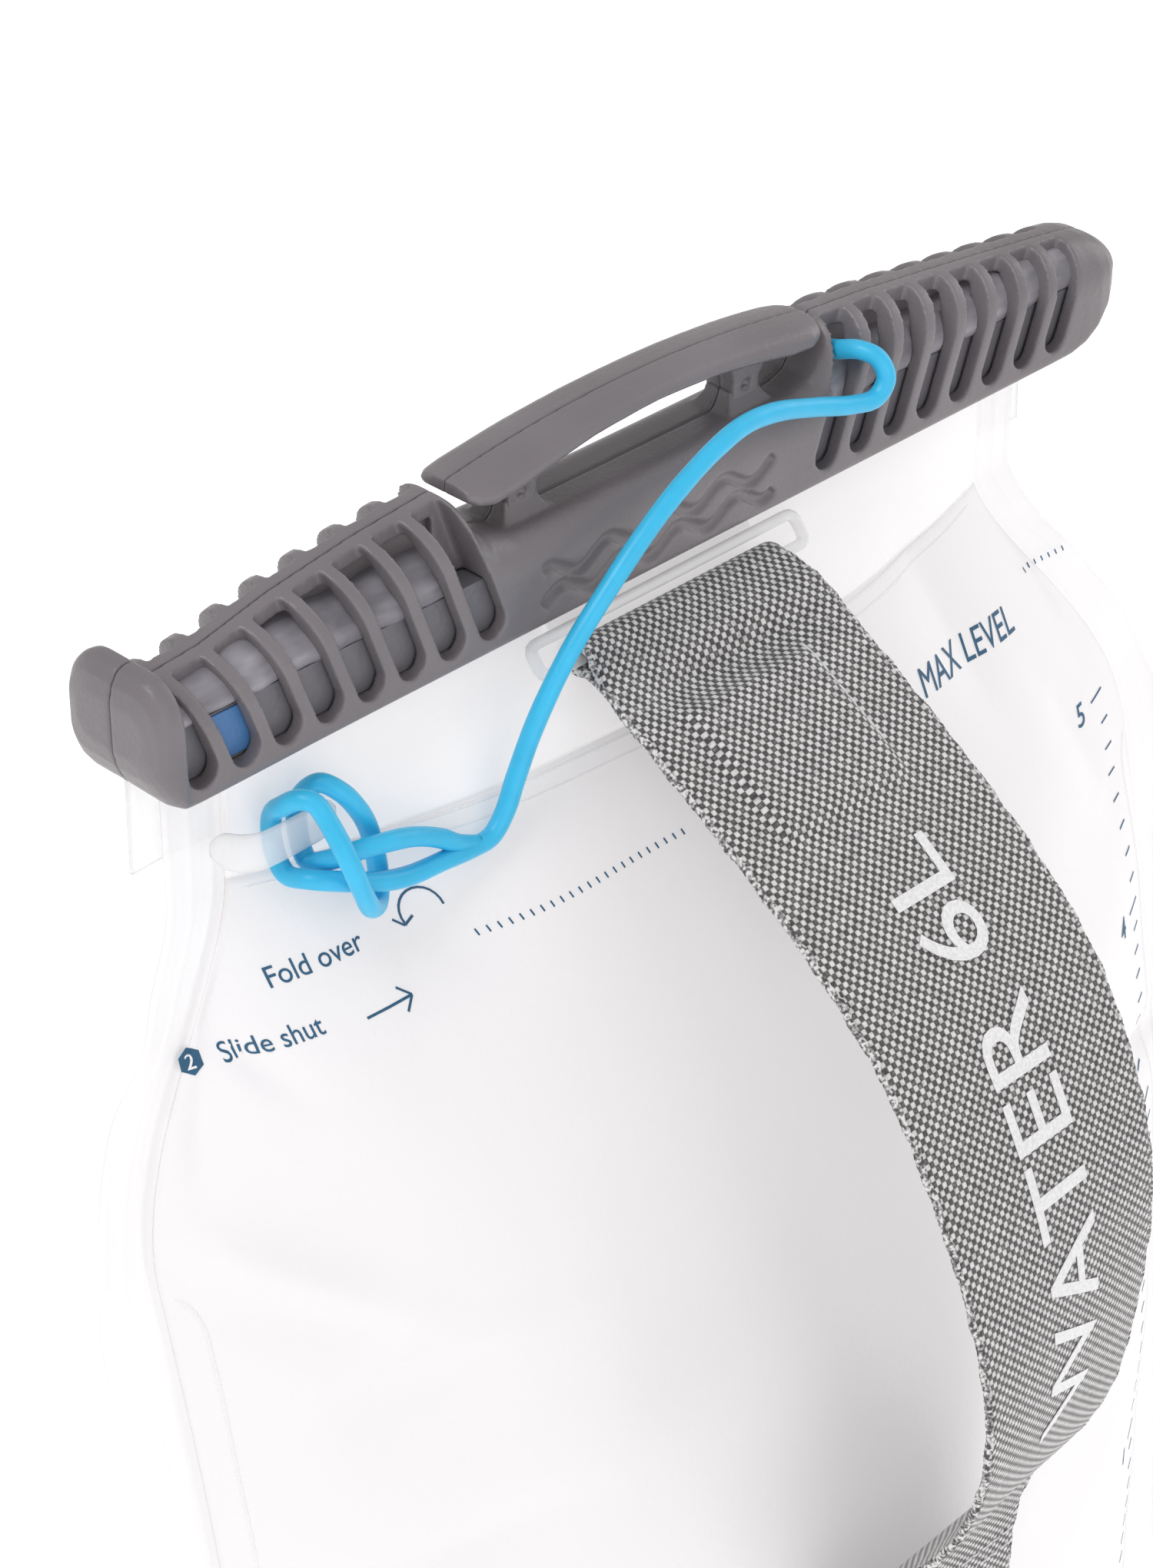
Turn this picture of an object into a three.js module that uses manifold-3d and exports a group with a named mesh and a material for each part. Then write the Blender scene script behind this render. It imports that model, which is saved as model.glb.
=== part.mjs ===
// A six-litre water bag with a slide-on mouth seal, carrying strap, tether and outlet valve.
// Units are millimetres, +Z is up, -Y is the front. The origin is the centre of the underside.
import * as THREE from "three";
import { mergeVertices } from "three/addons/utils/BufferGeometryUtils.js";
import Module from "manifold-3d";

const wasm = await Module();
wasm.setup();

// ---- Driving dimensions ----
const GAP = 0.3; // clearance between pieces that touch
const FILM = 1.2; // film thickness, with its welds
const MOUTH_Y = 37.95; // the mouth lies behind the middle of the bag
const MOUTH_Z = 305; // height of the mouth above the base
const NECK_DROP = 18; // neck seam below the mouth
const RIM_Z = 14; // where the side panels meet the base
const BASE_ROUND = 28; // height over which the base edge rounds in
const NECK_HALF = 86; // half width of the neck, inside its side seams
const BODY_HALF = 115; // half width of the body, inside its side seams
const SHOULDER = 54; // height of the sloping shoulder
const SEAM_WIDTH = 10; // side seam flange
const FRONT_POWER = 2.4; // fullness of the front's cross-section
const BACK_POWER = 4.6; // the back is boxier
const FRONT_DEPTH = 33; // bulge of the front panel
const BACK_DEPTH = 58; // bulge of the back panel
const SEAM_FORWARD = 32; // how far the side seams lean to the front

const SLIDER_BOTTOM = 4; // from here up, heights on the slider count from the mouth
const FLAP_LOW = -12; // foot of the folded end that hangs behind the neck
const FLAP_THICK = 1;
const NECK_TOP = 7.8; // the neck film runs this far up into the slider
const SLOT_PITCH = 8.3;
const SLOT_COUNT = 8; // on each side of the handle, front and back
const SLOT_WIDTH = 4.9;
const SLOT_FIRST = 37.8; // place of the slot nearest the handle
const SLOT_FOOT = 9.2; // centre of the slots' rounded foot
const SLOT_LENGTH = 36;
const SLOT_INSET = 2.4; // the slots stop this far from the ridge
const SLOT_CUT = 20;
const SLOT_LEAN = THREE.MathUtils.degToRad(20);
const RIBBED = [[-98.5, -43.5], [41.5, 107]]; // the two stretches that are hollow behind the ribs
const RIB_INNER = 6.9; // half width of the hollow behind the ribs
const CHANNEL_START = -101.5;
const CHANNEL_HALF = 6.95;
const CHANNEL_TOP = 16;
const CHANNEL_FLOOR = 6.2;
const LINER_HALF = 6.6;
const LINER_FLOOR = 6.6;
const LINER_LIP = 7.7;
const FAR = 200; // reaches past the object on every side
const CAP_FACE = -99.1; // inner face of the thick cap that closes the slider's left end
const MOUTH_SLIT = 3.2; // half width of the slit under the slider
const MOUTH_HALF = 100.8; // half length of the folded mouth

const HANDLE_POST = 3; // half width of each square post
const HANDLE_POST_X = 25;
const HANDLE_POST_FOOT = 17.5;
const HANDLE_POST_TOP = 30;
const HANDLE_TOP = 34.2;
const HANDLE_MIDDLE = 2; // the handle's highest place along the slider
const HANDLE_BOW = 0.0021;
const PIN_RADIUS = 0.9;
const PIN_HALF = 7.2;
const PIN_Z = 18.9;
const ANCHOR_X = 44.5; // the tether's anchor, behind the first slot right of the handle
const ANCHOR_Z = 24;

const STRAP_WIDTH = 50;
const STRAP_THICK = 1.6;
const STRAP_X = 1;
const STRAP_TWIST = 5; // how far the strap's right edge lies behind its left at the bulge
const STRAP_TWIST_Z = -112;
const STRAP_TWIST_RUN = 34;
const RING_THICK = 1.8;
const TAB_LOW = -13.3;
const TAB_HIGH = -6.7;
const PORT_Z = 48; // height of the outlet valve
const TETHER_D = 3.2;

// ---- Materials ----
const colour = {
  film: 0xeef0f2,
  clear: 0xe4e8ec,
  grey: 0x7d787a,
  darkGrey: 0x4c4c50,
  liner: 0xa3a6b0,
  blue: 0x28a5dc,
  webbing: 0x84858a,
  steel: 0xb9bcc0,
  rubber: 0x26282b,
};
const material = (name, roughness, metalness = 0) =>
  new THREE.MeshStandardMaterial({ color: colour[name], roughness, metalness });

// ---- Solids ----
function toSolid(geometry) {
  const bare = new THREE.BufferGeometry();
  bare.setAttribute("position", geometry.getAttribute("position"));
  if (geometry.index) bare.setIndex(geometry.index);
  const merged = mergeVertices(bare, 1e-4);
  const kept = [];
  const index = merged.index.array;
  for (let i = 0; i < index.length; i += 3) {
    const [a, b, c] = [index[i], index[i + 1], index[i + 2]];
    if (a !== b && b !== c && a !== c) kept.push(a, b, c);
  }
  return new wasm.Manifold(
    new wasm.Mesh({
      numProp: 3,
      vertProperties: merged.attributes.position.array,
      triVerts: new Uint32Array(kept),
    }),
  );
}

function toGeometry(solid) {
  const mesh = solid.getMesh();
  const geometry = new THREE.BufferGeometry();
  geometry.setAttribute("position", new THREE.BufferAttribute(mesh.vertProperties, 3));
  geometry.setIndex(new THREE.BufferAttribute(mesh.triVerts, 1));
  geometry.computeVertexNormals();
  return geometry;
}

function named(name, shape, look) {
  const geometry = shape.isBufferGeometry ? toGeometry(toSolid(shape)) : toGeometry(shape);
  const mesh = new THREE.Mesh(geometry, look);
  mesh.name = name;
  return mesh;
}

// A closed solid through convex rings of points, all with as many points.
function loft(rings) {
  const count = rings[0].length;
  const points = rings.flat();
  const index = [];
  for (let r = 0; r + 1 < rings.length; r++) {
    for (let i = 0; i < count; i++) {
      const j = (i + 1) % count;
      const [a, b] = [r * count + i, r * count + j];
      const [c, d] = [a + count, b + count];
      index.push(a, b, d, a, d, c);
    }
  }
  const last = (rings.length - 1) * count;
  for (let i = 1; i + 1 < count; i++) {
    index.push(0, i + 1, i);
    index.push(last, last + i, last + i + 1);
  }
  return fromPoints(points, index);
}

function fromPoints(points, index) {
  const geometry = new THREE.BufferGeometry().setFromPoints(points);
  geometry.setIndex(index);
  const solid = toSolid(geometry);
  if (solid.volume() > 0) return solid;
  for (let i = 0; i < index.length; i += 3) {
    [index[i + 1], index[i + 2]] = [index[i + 2], index[i + 1]];
  }
  geometry.setIndex(index);
  return toSolid(geometry);
}

// A sheet of film: place(u, v) gives a point of its inner face, push its thickness vector.
function sheet(place, push, columns, rows) {
  const inner = [];
  for (let v = 0; v <= rows; v++) {
    for (let u = 0; u <= columns; u++) inner.push(place(u / columns, v / rows));
  }
  const outer = inner.map((p) => p.clone().add(push));
  const index = [];
  const width = columns + 1;
  const quad = (a, b, c, d) => index.push(a, b, c, a, c, d);
  const lift = inner.length;
  for (let v = 0; v < rows; v++) {
    for (let u = 0; u < columns; u++) {
      const a = v * width + u;
      quad(a, a + 1, a + 1 + width, a + width);
      quad(lift + a, lift + a + width, lift + a + 1 + width, lift + a + 1);
    }
  }
  const edge = [];
  for (let u = 0; u < columns; u++) edge.push(u);
  for (let v = 0; v < rows; v++) edge.push(v * width + columns);
  for (let u = columns; u > 0; u--) edge.push(rows * width + u);
  for (let v = rows; v > 0; v--) edge.push(v * width);
  edge.forEach((a, i) => {
    const b = edge[(i + 1) % edge.length];
    quad(a, lift + a, lift + b, b);
  });
  return fromPoints([...inner, ...outer], index);
}

function box(x0, x1, y0, y1, z0, z1) {
  const geometry = new THREE.BoxGeometry(x1 - x0, y1 - y0, z1 - z0);
  geometry.translate((x0 + x1) / 2, (y0 + y1) / 2, (z0 + z1) / 2);
  return toSolid(geometry);
}

// A rod or ring turned about the Y axis from [radius, y] pairs.
function turned(pairs, segments = 32) {
  const profile = pairs.map(([r, y]) => new THREE.Vector2(r, y));
  const solid = toSolid(new THREE.LatheGeometry(profile, segments));
  return solid.volume() > 0 ? solid : toSolid(new THREE.LatheGeometry(profile.reverse(), segments));
}

const rod = (radius, y0, y1, segments = 24) =>
  turned([[0, y0], [radius, y0], [radius, y1], [0, y1]], segments);

function ringAbout(inner, outer, y0, y1, segments = 32) {
  return turned([[inner, y0], [outer, y0], [outer, y1], [inner, y1], [inner, y0]], segments);
}

const moved = (solid, x, y, z) => solid.translate([x, y, z]);

// A tube of round section along a smooth curve through the points.
function tube(points, diameter, steps, sides) {
  const section = new THREE.Shape();
  for (let i = 0; i < sides; i++) {
    const angle = (2 * Math.PI * i) / sides;
    const [x, y] = [Math.cos(angle) * diameter * 0.5, Math.sin(angle) * diameter * 0.5];
    if (i) section.lineTo(x, y);
    else section.moveTo(x, y);
  }
  const path = new THREE.CatmullRomCurve3(points.map((p) => new THREE.Vector3(...p)));
  const geometry = new THREE.ExtrudeGeometry(section, { steps, extrudePath: path });
  return toSolid(geometry);
}

// ---- The bag's shape ----
const clamp01 = (t) => Math.min(1, Math.max(0, t));
const below = (z) => MOUTH_Z - z;

function halfWidth(z) {
  const t = clamp01((below(z) - NECK_DROP) / SHOULDER);
  return NECK_HALF + (BODY_HALF - NECK_HALF) * Math.sin((t * Math.PI) / 2) ** 1.4;
}

function seamY(z) {
  const t = clamp01((below(z) - NECK_DROP) / 180);
  return MOUTH_Y - SEAM_FORWARD * Math.sin((t * Math.PI) / 2);
}

function baseTaper(z) {
  return 1 - 0.16 * clamp01(1 - z / BASE_ROUND) ** 2;
}

function widthTaper(z) {
  return 1 - 0.05 * clamp01(1 - z / BASE_ROUND) ** 2;
}

// Height below the slider, where the two films part.
const opened = (z) => Math.max(0, below(z) + SLIDER_BOTTOM);
const frontDepth = (z) => FRONT_DEPTH * (1 - Math.exp(-opened(z) / 46)) * baseTaper(z);
const backDepth = (z) =>
  BACK_DEPTH * (1 - Math.exp(-((opened(z) / 70) ** 1.4))) * baseTaper(z);

// Share of the depth at a place u = -1..1 across the bag.
const fullness = (u, power) => 1 - Math.abs(u) ** power;
const across = (t) => -Math.cos(Math.PI * t);

function frontPoint(u, z) {
  const y = seamY(z) - GAP - frontDepth(z) * fullness(u, FRONT_POWER);
  return new THREE.Vector3(u * halfWidth(z) * widthTaper(z), y, z);
}

function backPoint(u, z) {
  const y = seamY(z) + GAP + backDepth(z) * fullness(u, BACK_POWER);
  return new THREE.Vector3(u * halfWidth(z) * widthTaper(z), y, z);
}

const PANEL_LOW = RIM_Z + GAP;
const PANEL_HIGH = MOUTH_Z - NECK_DROP - GAP / 2;
const PANEL_ROWS = 13;

function panelRows(point, z0, z1) {
  return (s, t) => point(across(s), z0 + (z1 - z0) * t);
}

function frontPanel() {
  const place = panelRows(frontPoint, PANEL_LOW, PANEL_HIGH);
  const film = sheet(place, new THREE.Vector3(0, -FILM, 0), 18, PANEL_ROWS);
  const hole = moved(rod(5, -60, 20), 0, 0, PORT_Z);
  return film.subtract(hole);
}

function backPanel() {
  const place = panelRows(backPoint, PANEL_LOW, PANEL_HIGH);
  return sheet(place, new THREE.Vector3(0, FILM, 0), 18, PANEL_ROWS);
}

function neckSheet(point, push) {
  const bottom = MOUTH_Z - NECK_DROP + GAP / 2;
  return sheet(panelRows(point, bottom, MOUTH_Z + NECK_TOP), push, 14, 8);
}

// The bag's outline at a height, drawn in by an inset towards the middle of the base.
function baseOutline([z, inset]) {
  const steps = 20;
  const middle = seamY(0) + (BACK_DEPTH - FRONT_DEPTH) / 2;
  const squeeze = 1 - inset / BODY_HALF;
  const lean = 1 - inset / ((BACK_DEPTH + FRONT_DEPTH) / 2);
  const corner = (p, film) =>
    new THREE.Vector3(p.x * squeeze, middle + (p.y + film - middle) * lean, z);
  const ring = [];
  for (let i = 0; i < steps; i++) ring.push(corner(frontPoint(across(i / steps), z), -FILM));
  for (let i = 0; i < steps; i++) ring.push(corner(backPoint(-across(i / steps), z), FILM));
  return ring;
}

// The tray that closes the bottom of the bag: a flat floor and a rounded rim.
function baseGusset() {
  const outside = loft([[0, 6], [3, 2.2], [8, 0.6], [RIM_Z, 0]].map(baseOutline));
  const inside = loft([[FILM, 7.4], [4.5, 3.6], [9, 2], [RIM_Z + 1, 1.4]].map(baseOutline));
  return outside.subtract(inside);
}

// The flange where front and back film are welded, from the neck down to the base.
function sideSeam(side) {
  const rings = [];
  for (let i = 0; i <= PANEL_ROWS; i++) {
    const z = PANEL_LOW + ((PANEL_HIGH - PANEL_LOW) * i) / PANEL_ROWS;
    const x = halfWidth(z) * widthTaper(z) + GAP;
    const y = seamY(z);
    const corners = [[x, -1], [x + SEAM_WIDTH, -1], [x + SEAM_WIDTH, 1], [x, 1]];
    rings.push(corners.map(([cx, cy]) => new THREE.Vector3(side * cx, y + cy * FILM, z)));
  }
  return loft(rings);
}

function neckSeam(side) {
  const [x0, x1] = [side * (NECK_HALF + GAP), side * (NECK_HALF + SEAM_WIDTH + GAP)];
  const [low, high] = [MOUTH_Z - NECK_DROP + GAP, MOUTH_Z + NECK_TOP];
  return box(Math.min(x0, x1), Math.max(x0, x1), MOUTH_Y - FILM, MOUTH_Y + FILM, low, high);
}

function bagBody() {
  const group = new THREE.Group();
  const film = material("film", 0.35);
  const clear = material("clear", 0.2);
  group.add(named("front_panel", frontPanel(), film));
  group.add(named("back_panel", backPanel(), film));
  group.add(named("base_gusset", baseGusset(), film));
  group.add(named("side_seam_left", sideSeam(-1), clear));
  group.add(named("side_seam_right", sideSeam(1), clear));
  group.add(named("neck_front", neckSheet(frontPoint, new THREE.Vector3(0, -FILM, 0)), clear));
  group.add(named("neck_back", neckSheet(backPoint, new THREE.Vector3(0, FILM, 0)), clear));
  group.add(named("neck_seam_left", neckSeam(-1), clear));
  group.add(named("neck_seam_right", neckSeam(1), clear));
  return group;
}

// ---- The folded mouth, in the mouth's own frame ----
function invertedU(half, wall, z0, z1, x0, x1) {
  const outside = box(x0, x1, -half, half, z0, z1);
  return outside.subtract(box(x0 - 1, x1 + 1, wall - half, half - wall, z0 - 1, z1 - wall));
}

// The end of the mouth, folded to the back: it hangs out under the slider behind the neck.
function mouthFlap() {
  const place = (s, t) => {
    const z = MOUTH_Z + FLAP_LOW + (NECK_TOP - FLAP_LOW) * t;
    const u = (MOUTH_HALF / NECK_HALF) * across(s);
    const lift = FILM + GAP * 1.5;
    const bulge = backDepth(z) * Math.max(0, fullness(u, BACK_POWER));
    return new THREE.Vector3(u * NECK_HALF, GAP + lift + bulge, z - MOUTH_Z);
  };
  return sheet(place, new THREE.Vector3(0, FLAP_THICK, 0), 16, 8);
}

function mouth() {
  const group = new THREE.Group();
  const fold = invertedU(4.8, 1.4, 8.1, 13.9, -MOUTH_HALF, MOUTH_HALF);
  const stiffener = box(-MOUTH_HALF + 2, MOUTH_HALF - 2, -2.6, 2.6, 8.5, 12.2);
  group.add(named("mouth_fold", fold, material("clear", 0.3)));
  group.add(named("mouth_stiffener", stiffener, material("liner", 0.4)));
  group.add(named("mouth_flap", mouthFlap(), material("clear", 0.25)));
  return group;
}

// ---- The slider, in the mouth's own frame ----
// Stations along the slider: place, underside, top, half depth and half width of its crown.
const SLIDER_STATIONS = [
  [-104.8, 12.6, 20.5, 7.5, 4],
  [-104.1, 9.6, 23.4, 9.8, 5],
  [-102.9, 7.1, 25.2, 10.6, 5.2],
  [-101.6, 5.4, 25.7, 10.8, 5.2],
  [-100, 4.6, 25.6, 10.7, 5],
  [-99.3, 4.3, 24.8, 10.4, 4.2],
  [-98.7, 4.1, 22.3, 10, 1.8],
  [-96.5, 4, 22.4, 10, 1.8],
  [-88, 4, 23.2, 9.9, 1.8],
  [-75, 4, 26.3, 9.7, 1.8],
  [-58, 4, 28.9, 9.6, 1.8],
  [-42, 4, 30.4, 9.6, 1.8],
  [-40.5, 4, 29, 9.6, 2.2],
  [-38.5, 4, 25, 9.6, 3],
  [-35.5, 4, 22, 9.6, 3.6],
  [-31, 4, 20.7, 9.6, 4],
  [-26, 4, 20.5, 9.6, 4],
  [26, 4, 20.5, 9.6, 4],
  [33, 4, 20.7, 9.6, 4],
  [36.5, 4, 22, 9.6, 3.6],
  [39, 4, 25.5, 9.6, 3],
  [41, 4, 29, 9.6, 2.2],
  [42.5, 4, 30.4, 9.6, 1.8],
  [56, 4, 29.3, 9.6, 1.8],
  [75, 4, 27, 9.6, 1.8],
  [95, 4, 24.4, 9.6, 1.8],
  [101, 4, 23.6, 9.5, 1.8],
  [105, 4.8, 23, 9.4, 1.8],
  [108.5, 6.6, 22.4, 9.1, 1.8],
  [111.5, 9.2, 21.4, 8.4, 1.6],
  [113.6, 12, 20, 7.2, 1.4],
  [114.5, 14.5, 18.4, 5.5, 1],
];

function sliderSection([x, bottom, top, half, crown]) {
  const bevel = 0.8;
  const rise = Math.min(9, (top - bottom) / 2, (half - crown) * 1.2);
  const right = [[half - bevel, bottom], [half, bottom + bevel]];
  for (let i = 0; i <= 4; i++) {
    const angle = (i / 4) * (Math.PI / 2);
    right.push([crown + (half - crown) * Math.cos(angle), top - rise + rise * Math.sin(angle)]);
  }
  const left = right.map(([y, z]) => [-y, z]).reverse();
  return [...right, ...left].map(([y, z]) => new THREE.Vector3(x, y, z));
}

// The hollow under the ribs, above the mouth channel, between two places along the slider.
function ribHollow([x0, x1]) {
  const inner = SLIDER_STATIONS.filter(([x]) => x > x0 && x < x1);
  const ends = [topAt(x0), ...inner.map(([x, , top]) => [x, top]), topAt(x1)];
  return loft(ends.map(([x, top]) => {
    const right = [
      [RIB_INNER, CHANNEL_TOP - 0.5],
      [RIB_INNER, Math.max(top - 10, CHANNEL_TOP)],
      [RIB_INNER / 2, top - 3],
    ];
    const left = right.map(([y, z]) => [-y, z]).reverse();
    return [...right, ...left].map(([y, z]) => new THREE.Vector3(x, y, z));
  }));
}

function topAt(x) {
  const next = SLIDER_STATIONS.findIndex(([place]) => place > x);
  const [x0, , top0] = SLIDER_STATIONS[next - 1];
  const [x1, , top1] = SLIDER_STATIONS[next];
  return [x, top0 + ((top1 - top0) * (x - x0)) / (x1 - x0)];
}

// One slot through the front or back wall, leaning away from the handle as it rises.
function slot(end, face, index) {
  const radius = SLOT_WIDTH / 2;
  const shape = new THREE.Shape();
  shape.moveTo(radius, SLOT_LENGTH);
  shape.lineTo(-radius, SLOT_LENGTH);
  shape.absarc(0, 0, radius, Math.PI, 2 * Math.PI);
  const geometry = new THREE.ExtrudeGeometry(shape, {
    depth: SLOT_CUT,
    bevelEnabled: false,
    curveSegments: 6,
  });
  geometry.rotateX(Math.PI / 2);
  geometry.translate(0, face > 0 ? SLOT_INSET + SLOT_CUT : -SLOT_INSET, 0);
  geometry.rotateY(end * SLOT_LEAN);
  geometry.translate(end * (SLOT_FIRST + SLOT_PITCH * index), 0, SLOT_FOOT);
  return toSolid(geometry);
}

function handlePockets() {
  const grip = HANDLE_POST + GAP;
  return [-1, 1].map((end) => {
    const x = end * HANDLE_POST_X;
    const pocket = box(x - grip, x + grip, -grip, grip, HANDLE_POST_FOOT - GAP, HANDLE_POST_TOP);
    return pocket.add(moved(rod(PIN_RADIUS + GAP, -PIN_HALF - GAP, PIN_HALF + GAP, 12), x, 0, PIN_Z));
  });
}

function sliderShell() {
  const clearOfCap = box(CAP_FACE, FAR, -FAR, FAR, -FAR, FAR);
  const channel = box(CHANNEL_START, FAR, -CHANNEL_HALF, CHANNEL_HALF, CHANNEL_FLOOR, CHANNEL_TOP);
  const slit = box(CHANNEL_START, FAR, -MOUTH_SLIT, MOUTH_SLIT, 0, CHANNEL_FLOOR + 1);
  let shell = loft(SLIDER_STATIONS.map(sliderSection)).subtract(channel).subtract(slit);
  for (const stretch of RIBBED) shell = shell.subtract(ribHollow(stretch));
  for (const end of [-1, 1]) {
    for (const face of [-1, 1]) {
      for (let i = 0; i < SLOT_COUNT; i++) {
        shell = shell.subtract(slot(end, face, i).intersect(clearOfCap));
      }
    }
  }
  for (const pocket of handlePockets()) shell = shell.subtract(pocket);
  return shell;
}

// The smooth rail inside the slider, with a lip on each side that holds the folded mouth.
function sliderLiner() {
  const [x0, x1] = [CHANNEL_START + 0.4, 109];
  const opening = MOUTH_SLIT + 0.2;
  const rail = invertedU(LINER_HALF, 1.3, LINER_FLOOR, CHANNEL_TOP - 0.4, x0, x1);
  const lips = box(x0, x1, -LINER_HALF, LINER_HALF, LINER_FLOOR, LINER_LIP);
  return rail.add(lips.subtract(box(x0 - 1, x1 + 1, -opening, opening, 0, LINER_LIP + 1)));
}

// Stations along the handle's grip: place, depth and half width.
const GRIP_STATIONS = [
  [-38.5, 2.2, 5.2], [-37, 3.4, 6.4], [-34, 4.6, 7], [-29, 4.9, 7], [-22, 4.4, 6.8], [-12, 3.7, 6.4],
  [2, 3.4, 6.2], [16, 3.6, 6.4], [26, 4.2, 6.8], [32, 4.6, 7], [37, 4.4, 6.8], [39.5, 3.6, 5.8],
  [40.5, 2.2, 4],
];

function handleArch() {
  const rings = GRIP_STATIONS.map(([x, depth, half]) => {
    const top = HANDLE_TOP - HANDLE_BOW * (x - HANDLE_MIDDLE) ** 2;
    const right = [
      [half * 0.86, top - depth],
      [half, top - depth * 0.75],
      [half * 0.9, top - depth * 0.3],
      [half * 0.5, top - depth * 0.06],
    ];
    const left = right.map(([y, z]) => [-y, z]).reverse();
    return [...right, ...left].map(([y, z]) => new THREE.Vector3(x, y, z));
  });
  return loft(rings);
}

function handle() {
  let grip = handleArch();
  for (const end of [-1, 1]) {
    const x = end * HANDLE_POST_X;
    const [x0, x1] = [x - HANDLE_POST, x + HANDLE_POST];
    grip = grip.add(box(x0, x1, -HANDLE_POST, HANDLE_POST, HANDLE_POST_FOOT, HANDLE_POST_TOP));
    grip = grip.subtract(moved(rod(PIN_RADIUS + GAP, -PIN_HALF, PIN_HALF, 12), x, 0, PIN_Z));
  }
  return grip;
}

function slider() {
  const group = new THREE.Group();
  const grey = material("grey", 0.5);
  const shell = sliderShell();
  const front = shell.intersect(box(-FAR, FAR, -FAR, -GAP / 2, -FAR, FAR));
  const back = shell.intersect(box(-FAR, FAR, GAP / 2, FAR, -FAR, FAR));
  group.add(named("slider_front", front, grey));
  group.add(named("slider_back", back, grey));
  group.add(named("slider_liner", sliderLiner(), material("liner", 0.4)));
  group.add(named("handle", handle(), grey));
  for (const [name, end] of [["handle_pin_left", -1], ["handle_pin_right", 1]]) {
    const pin = moved(rod(PIN_RADIUS, -PIN_HALF, PIN_HALF, 12), end * HANDLE_POST_X, 0, PIN_Z);
    group.add(named(name, pin, material("steel", 0.3, 0.9)));
  }
  const anchor = moved(rod(2, -1.9, 1.9, 12), ANCHOR_X, 0, ANCHOR_Z);
  group.add(named("tether_anchor", anchor, material("blue", 0.4)));
  return group;
}

// ---- Straps, tab and tether ----
// A flat band through left and right edge points, thick across its own face.
function band(lefts, rights, thickness) {
  const middles = lefts.map((p, i) => p.clone().add(rights[i]).multiplyScalar(0.5));
  const rings = lefts.map((left, i) => {
    const right = rights[i];
    const before = middles[Math.max(0, i - 1)];
    const after = middles[Math.min(middles.length - 1, i + 1)];
    const along = after.clone().sub(before);
    const normal = along.cross(right.clone().sub(left)).setLength(thickness / 2);
    const corner = (p, sign) => p.clone().addScaledVector(normal, sign);
    return [corner(left, 1), corner(right, 1), corner(right, -1), corner(left, -1)];
  });
  return loft(rings);
}

// Middle line of the strap behind the bag's front, as [y, z] from the mouth.
// It runs from the folded tail, round the upper ring, down the front and round the lower ring.
const STRAP_LINE = [
  [-46.5, -24.9], [-36, -18.3], [-27.5, -12.9], [-19, -7.9], [-13.4, -5.5], [-11.1, -6],
  [-9.5, -4.9], [-9.1, -3.3], [-9.9, -1.7], [-11.8, -1.1], [-15, -2.4], [-28, -10.4], [-48, -22.8],
  [-65, -35], [-79, -48.5], [-89, -65], [-95.5, -81], [-98.5, -97], [-98, -114], [-94, -130],
  [-86, -145], [-78, -156], [-73, -168], [-71.4, -182], [-72, -198], [-72.6, -206],
  [-71.6, -208.4], [-69.6, -208.8], [-68, -206.8], [-68.2, -200], [-68.6, -184],
];

function strap() {
  const line = STRAP_LINE.map(([y, z]) => new THREE.Vector3(STRAP_X, y, z));
  const curve = new THREE.CatmullRomCurve3(line);
  const steps = 60;
  const [lefts, rights] = [[], []];
  for (let i = 0; i <= steps; i++) {
    const p = curve.getPoint(i / steps);
    const swing = STRAP_TWIST * Math.exp(-(((p.z - STRAP_TWIST_Z) / STRAP_TWIST_RUN) ** 2));
    const half = new THREE.Vector3(STRAP_WIDTH / 2, swing, 0);
    lefts.push(p.clone().sub(half));
    rights.push(p.clone().add(half));
  }
  return band(lefts, rights, STRAP_THICK);
}

// A rectangular ring with its long slot along X, lying in a plane tilted from upright.
function strapRing(y, z, tilt) {
  const shape = roundedBox(31, 3.58, 1.8);
  shape.holes.push(roundedBox(27, 1.68, 0.6));
  const geometry = new THREE.ExtrudeGeometry(shape, {
    depth: RING_THICK,
    bevelEnabled: false,
    curveSegments: 4,
  });
  geometry.translate(0, 0, -RING_THICK / 2);
  geometry.rotateX(Math.PI / 2 + tilt);
  geometry.translate(STRAP_X, y, z);
  return toSolid(geometry);
}

function roundedBox(halfX, halfY, radius) {
  const shape = new THREE.Shape();
  shape.absarc(halfX - radius, halfY - radius, radius, 0, Math.PI / 2);
  shape.absarc(radius - halfX, halfY - radius, radius, Math.PI / 2, Math.PI);
  shape.absarc(radius - halfX, radius - halfY, radius, Math.PI, 1.5 * Math.PI);
  shape.absarc(halfX - radius, radius - halfY, radius, 1.5 * Math.PI, 2 * Math.PI);
  return shape;
}

// The clear bar, standing off the neck, that the tether is hitched round.
function tetherTab() {
  const bar = box(-90.5, -70, -9.6, -8.5, TAB_LOW, TAB_HIGH);
  const foot = box(-90.5, -87, -9, -1.9, TAB_LOW, TAB_HIGH);
  return bar.add(foot);
}

// A patch of film welded over the front near x = STRAP_X, between two heights.
function patch(halfSpan, z0, z1) {
  const place = (s, t) => {
    const z = MOUTH_Z + z0 + (z1 - z0) * t;
    const x = STRAP_X + halfSpan * (2 * s - 1);
    return frontPoint(x / halfWidth(z), z).setY(frontY(x, z) - FILM - 2 * GAP);
  };
  return sheet(place, new THREE.Vector3(0, -0.7, 0), 6, 2);
}

const frontY = (x, z) => frontPoint(x / halfWidth(z), z).y;

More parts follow.
